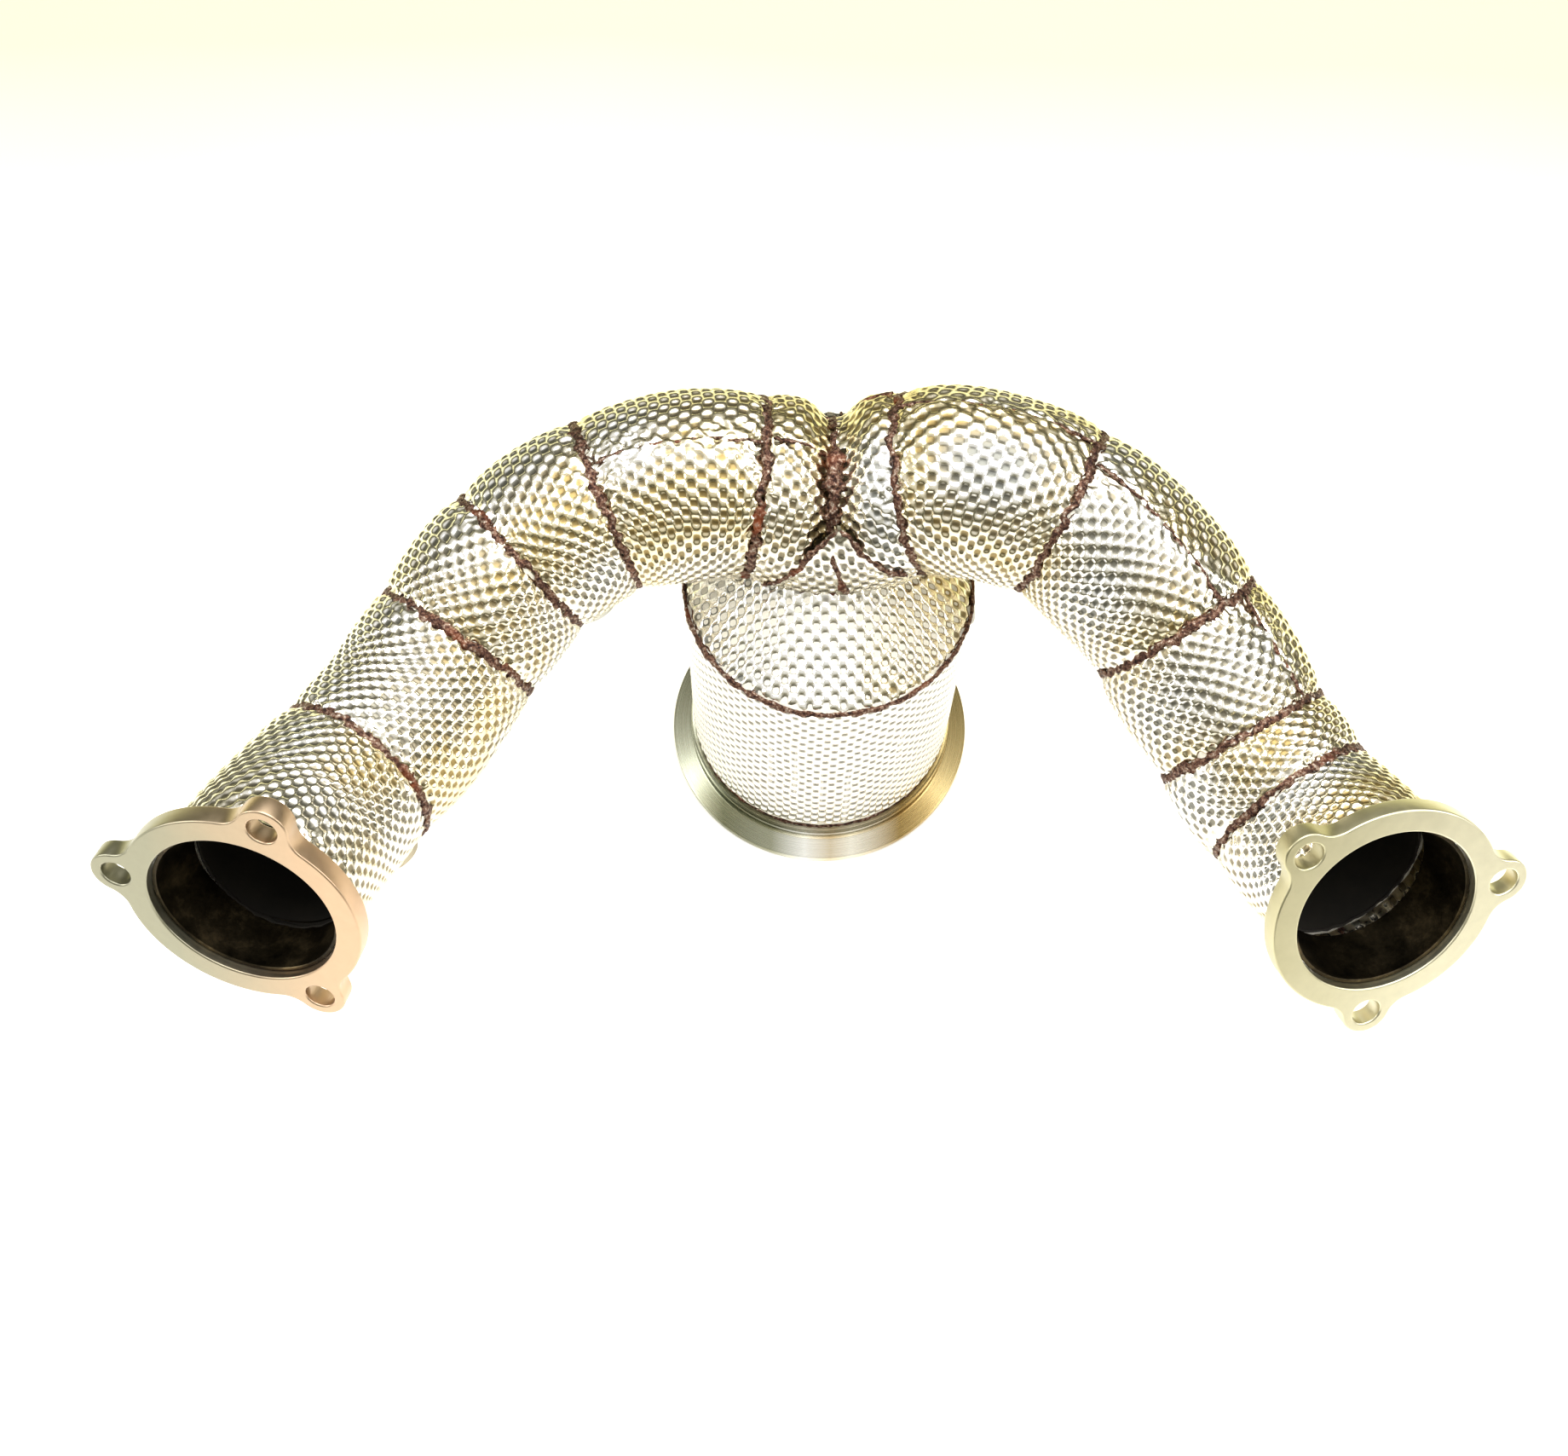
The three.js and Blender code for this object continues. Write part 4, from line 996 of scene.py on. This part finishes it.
# Painted highlights and painted shade: bright and dark bands in the colour, set by X across the face.
painted_light_bands = (
    (0.13, "#7d8069"), (0.32, "#a3a38a"), (0.45, "#fffdf2"),
    (0.55, "#e2d3b4"), (0.63, "#f9f3e0"), (0.82, "#a98f5a"),
)
for at, shade in painted_light_bands:
    tint.color_ramp.elements.new(at).color = linear(shade)
lines = add(tree, "ShaderNodeMapRange", {"Value": rings.outputs["Fac"], "To Min": 0.8, "To Max": 1.1})
ringed = add(tree, "ShaderNodeMix", {
    "Factor": 1.0, "A": tint.outputs["Color"], "B": lines.outputs["Result"],
}, data_type="RGBA", blend_type="MULTIPLY")
tree.links.new(ringed.outputs["Result"], shader.inputs["Base Color"])
shader.inputs["Metallic"].default_value = 1.0
shader.inputs["Anisotropic"].default_value = 0.5
polish = add(tree, "ShaderNodeMapRange", {"Value": rings.outputs["Fac"], "To Min": 0.2, "To Max": 0.34})
tree.links.new(polish.outputs["Result"], shader.inputs["Roughness"])
bump = add(tree, "ShaderNodeBump", {"Height": rings.outputs["Fac"], "Strength": 0.2, "Distance": 0.06 * MM})
tree.links.new(bump.outputs["Normal"], shader.inputs["Normal"])

slope_top = 3.2 + (OUTLET_RADIUS - NECK_RADIUS) * math.tan(math.radians(20))
profile = [
    (CAN_RADIUS - CAN_WALL, 0.5), (CAN_RADIUS - CAN_WALL + 0.5, 0),
    (OUTLET_RADIUS - 0.6, 0), (OUTLET_RADIUS - 0.15, 0.2), (OUTLET_RADIUS, 0.6),
    (OUTLET_RADIUS, 2.7), (OUTLET_RADIUS - 0.2, 3.15), (OUTLET_RADIUS - 0.6, 3.4),
    (NECK_RADIUS + 0.9, slope_top - 0.3), (NECK_RADIUS + 0.25, slope_top + 0.15),
    (NECK_RADIUS, slope_top + 0.8),
    (NECK_RADIUS, 11.2), (NECK_RADIUS - 0.5, 11.5), (NECK_RADIUS - 0.5, 12.2), (NECK_RADIUS - 0.1, 12.5),
    (NECK_RADIUS - 0.1, 14.4), (NECK_RADIUS - 0.7, 15), (CAN_RADIUS + 0.3, 15), (CAN_RADIUS + 0.3, 4.5),
    (CAN_RADIUS - CAN_WALL, 4.5),
]
mesh = weld_rows(grid_mesh("outlet_flange", lathe(profile, 256), True, {}))
add_piece(mesh, turned_steel, "flange_steel", "vband_outlet_flange")

bottom, top = 4.8, 134.7
profile = [
    (CAN_RADIUS - CAN_WALL, bottom), (CAN_RADIUS, bottom), (CAN_RADIUS, top), (CAN_RADIUS - CAN_WALL, top),
]
mesh = weld_rows(grid_mesh("can_tube", lathe(profile, 192), True, {}))
add_piece(mesh, bore_steel, "pipe_steel", "can_shell")
line = np.stack([58.1 * np.cos(around), 58.1 * np.sin(around), np.full(around.shape, 15.3)], 1)
outward = np.stack([np.cos(around), np.sin(around), np.ones(around.shape)], 1)
add_piece(weld_run("outlet_weld", line, outward, 2.2, 0.9, 131, True, 0.3), burnt_seam, "flange_steel")


# ---------- Catalyst ----------
# A flat and a corrugated strip of steel foil are wound together into a round honeycomb, coated, and held
# in the can by a mat. The cells show from below through the outlet; they are drawn about twice life size.
CELL = 2.9
CORE_RADIUS = 50.2
TURN_STEP = 0.012  # radians

# The coating hides the metal's shine under a matt, sandy layer that is a little uneven.
coat, tree, shader, place = new_material("coated_steel_honeycomb")
dust = add(tree, "ShaderNodeTexNoise", {"Vector": place, "Scale": 1 / (9 * MM), "Detail": 4.0})
coat_tone = add(tree, "ShaderNodeMix", {"Factor": dust.outputs["Fac"]}, data_type="RGBA")
coat_tone.inputs["A"].default_value = linear("#7d7260")
coat_tone.inputs["B"].default_value = linear("#aa9d84")
tree.links.new(coat_tone.outputs["Result"], shader.inputs["Base Color"])
shader.inputs["Metallic"].default_value = 0.35
shader.inputs["Roughness"].default_value = 0.7

turn = np.arange(2 * math.pi, 2 * math.pi * CORE_RADIUS / CELL, TURN_STEP)
radius = CELL * turn / (2 * math.pi)
step = np.concatenate([[0], np.cumsum(radius[:-1] * TURN_STEP)])
even = np.arange(0, step[-1], 0.75)
turn, radius = np.interp(even, step, turn), np.interp(even, step, radius)
wave = CELL / 2 + (CELL / 2 - 0.25) * np.cos(math.pi * even / 1.5)
bottom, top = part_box("catalyst_brick")[0].z / MM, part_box("catalyst_brick")[1].z / MM
for name, offset in (("honeycomb_flat_strip", 0 * even), ("honeycomb_wave_strip", wave)):
    rows = []
    for gap, height in ((0, bottom), (0, top), (0.12, top), (0.12, bottom), (0, bottom)):
        reach = radius + offset + gap
        rows.append(np.stack([reach * np.cos(turn), reach * np.sin(turn), np.full(turn.shape, height)], -1))
    mesh = weld_rows(grid_mesh(name, np.stack(rows), False, {}))
    replaced = ["catalyst_brick"] if offset.any() else []
    add_piece(mesh, coat, "catalyst_honeycomb", *replaced)


# ---------- Sensor bosses ----------
# Turned stainless nuts, 24 mm across with an M18 thread, welded through the wall of the pipe or can and
# left bare above the foil.
THREAD_PITCH = 1.5


def boss_profile(low, top):
    """Radius and height round half a boss, with the thread as plain rings."""
    outside = [(BOSS_RADIUS, low), (BOSS_RADIUS, top - 0.8), (BOSS_RADIUS - 0.8, top), (BOSS_BORE + 1.1, top)]
    thread = []
    for k in range(int((top - 1.2 - low) / THREAD_PITCH)):
        thread.append((BOSS_BORE, top - 1.2 - THREAD_PITCH * k))
        thread.append((BOSS_BORE + 0.6, top - 1.95 - THREAD_PITCH * k))
    return [*outside, *thread, (BOSS_BORE, low)]


ARM_BOSS_TOP = 43.4
CAN_BOSS_TOP = 67.4
places = []
for name, side, depth, way in BOSSES:
    places.append((name, *boss_line(side, depth, way), PIPE_RADIUS + 1.3, ARM_BOSS_TOP))
can_foot = np.array([0, 0, CAN_BOSS_HEIGHT])
places.append(("can_sensor_bung", can_foot, can_out, CAN_RADIUS + 0.6, CAN_BOSS_TOP))
for name, start, towards, low, top in places:
    mesh = weld_rows(grid_mesh(f"{name}_turned", lathe(boss_profile(low, top), 96), True, {}))
    turn = Vector((0, 0, 1)).rotation_difference(Vector(towards)).to_matrix().to_4x4()
    mesh.transform(Matrix.Translation(Vector(start) * MM) @ turn)
    add_piece(mesh, boss_steel, "flange_steel", name)
    side_way = Vector(towards).orthogonal().normalized()
    other_way = Vector(towards).cross(side_way)
    foot_radius = BOSS_RADIUS + 0.3
    foot_height = 60.4 if name.startswith("can") else 36.2
    foot = np.array(start) + foot_height * np.array(towards)
    side_way, other_way = np.array(side_way), np.array(other_way)
    line = np.array([foot + foot_radius * (math.cos(t) * side_way + math.sin(t) * other_way) for t in around])
    if name.startswith("can"):
        line[:, :2] = unit(line[:, :2]) * (CAN_WRAP + 0.2)
    else:
        arm_line = ARMS["left"].line
        near = np.array([np.linalg.norm(arm_line - p, axis=1).argmin() for p in line])
        middle = arm_line[near]
        line = middle + unit(line - middle) * WRAP_RADIUS
    mesh = weld_run(f"{name}_collar", line, np.tile(towards, (len(line), 1)), 2.2, 0.9, 140, True, 0.4)
    add_piece(mesh, burnt_seam, "embossed_foil")


# ---------- Fibre mats ----------
# Needled ceramic fibre, off-white and matt, lies between the pipes and the foil and holds the catalyst
# in the can. It shows only at the open edges.

# Ceramic fibre is chalky and woolly, with no shine. Its strands are drawn 0.8 mm wide, far coarser than
# real ones, so that they show.
fibre, tree, shader, place = new_material("needled_ceramic_fibre")
strands = add(tree, "ShaderNodeTexNoise", {
    "Vector": place, "Scale": 1 / (0.8 * MM), "Detail": 4.0, "Distortion": 1.5,
})
wool = add(tree, "ShaderNodeMix", {"Factor": strands.outputs["Fac"]}, data_type="RGBA")
wool.inputs["A"].default_value = linear("#cfc8b6")
wool.inputs["B"].default_value = linear("#f1ede0")
tree.links.new(wool.outputs["Result"], shader.inputs["Base Color"])
shader.inputs["Roughness"].default_value = 0.95
bump = add(tree, "ShaderNodeBump", {"Height": strands.outputs["Fac"], "Strength": 0.8, "Distance": 0.4 * MM})
tree.links.new(bump.outputs["Normal"], shader.inputs["Normal"])
for name, node in nodes.items():
    if name.endswith("_mat"):
        node.data.materials.clear()
        node.data.materials.append(fibre)
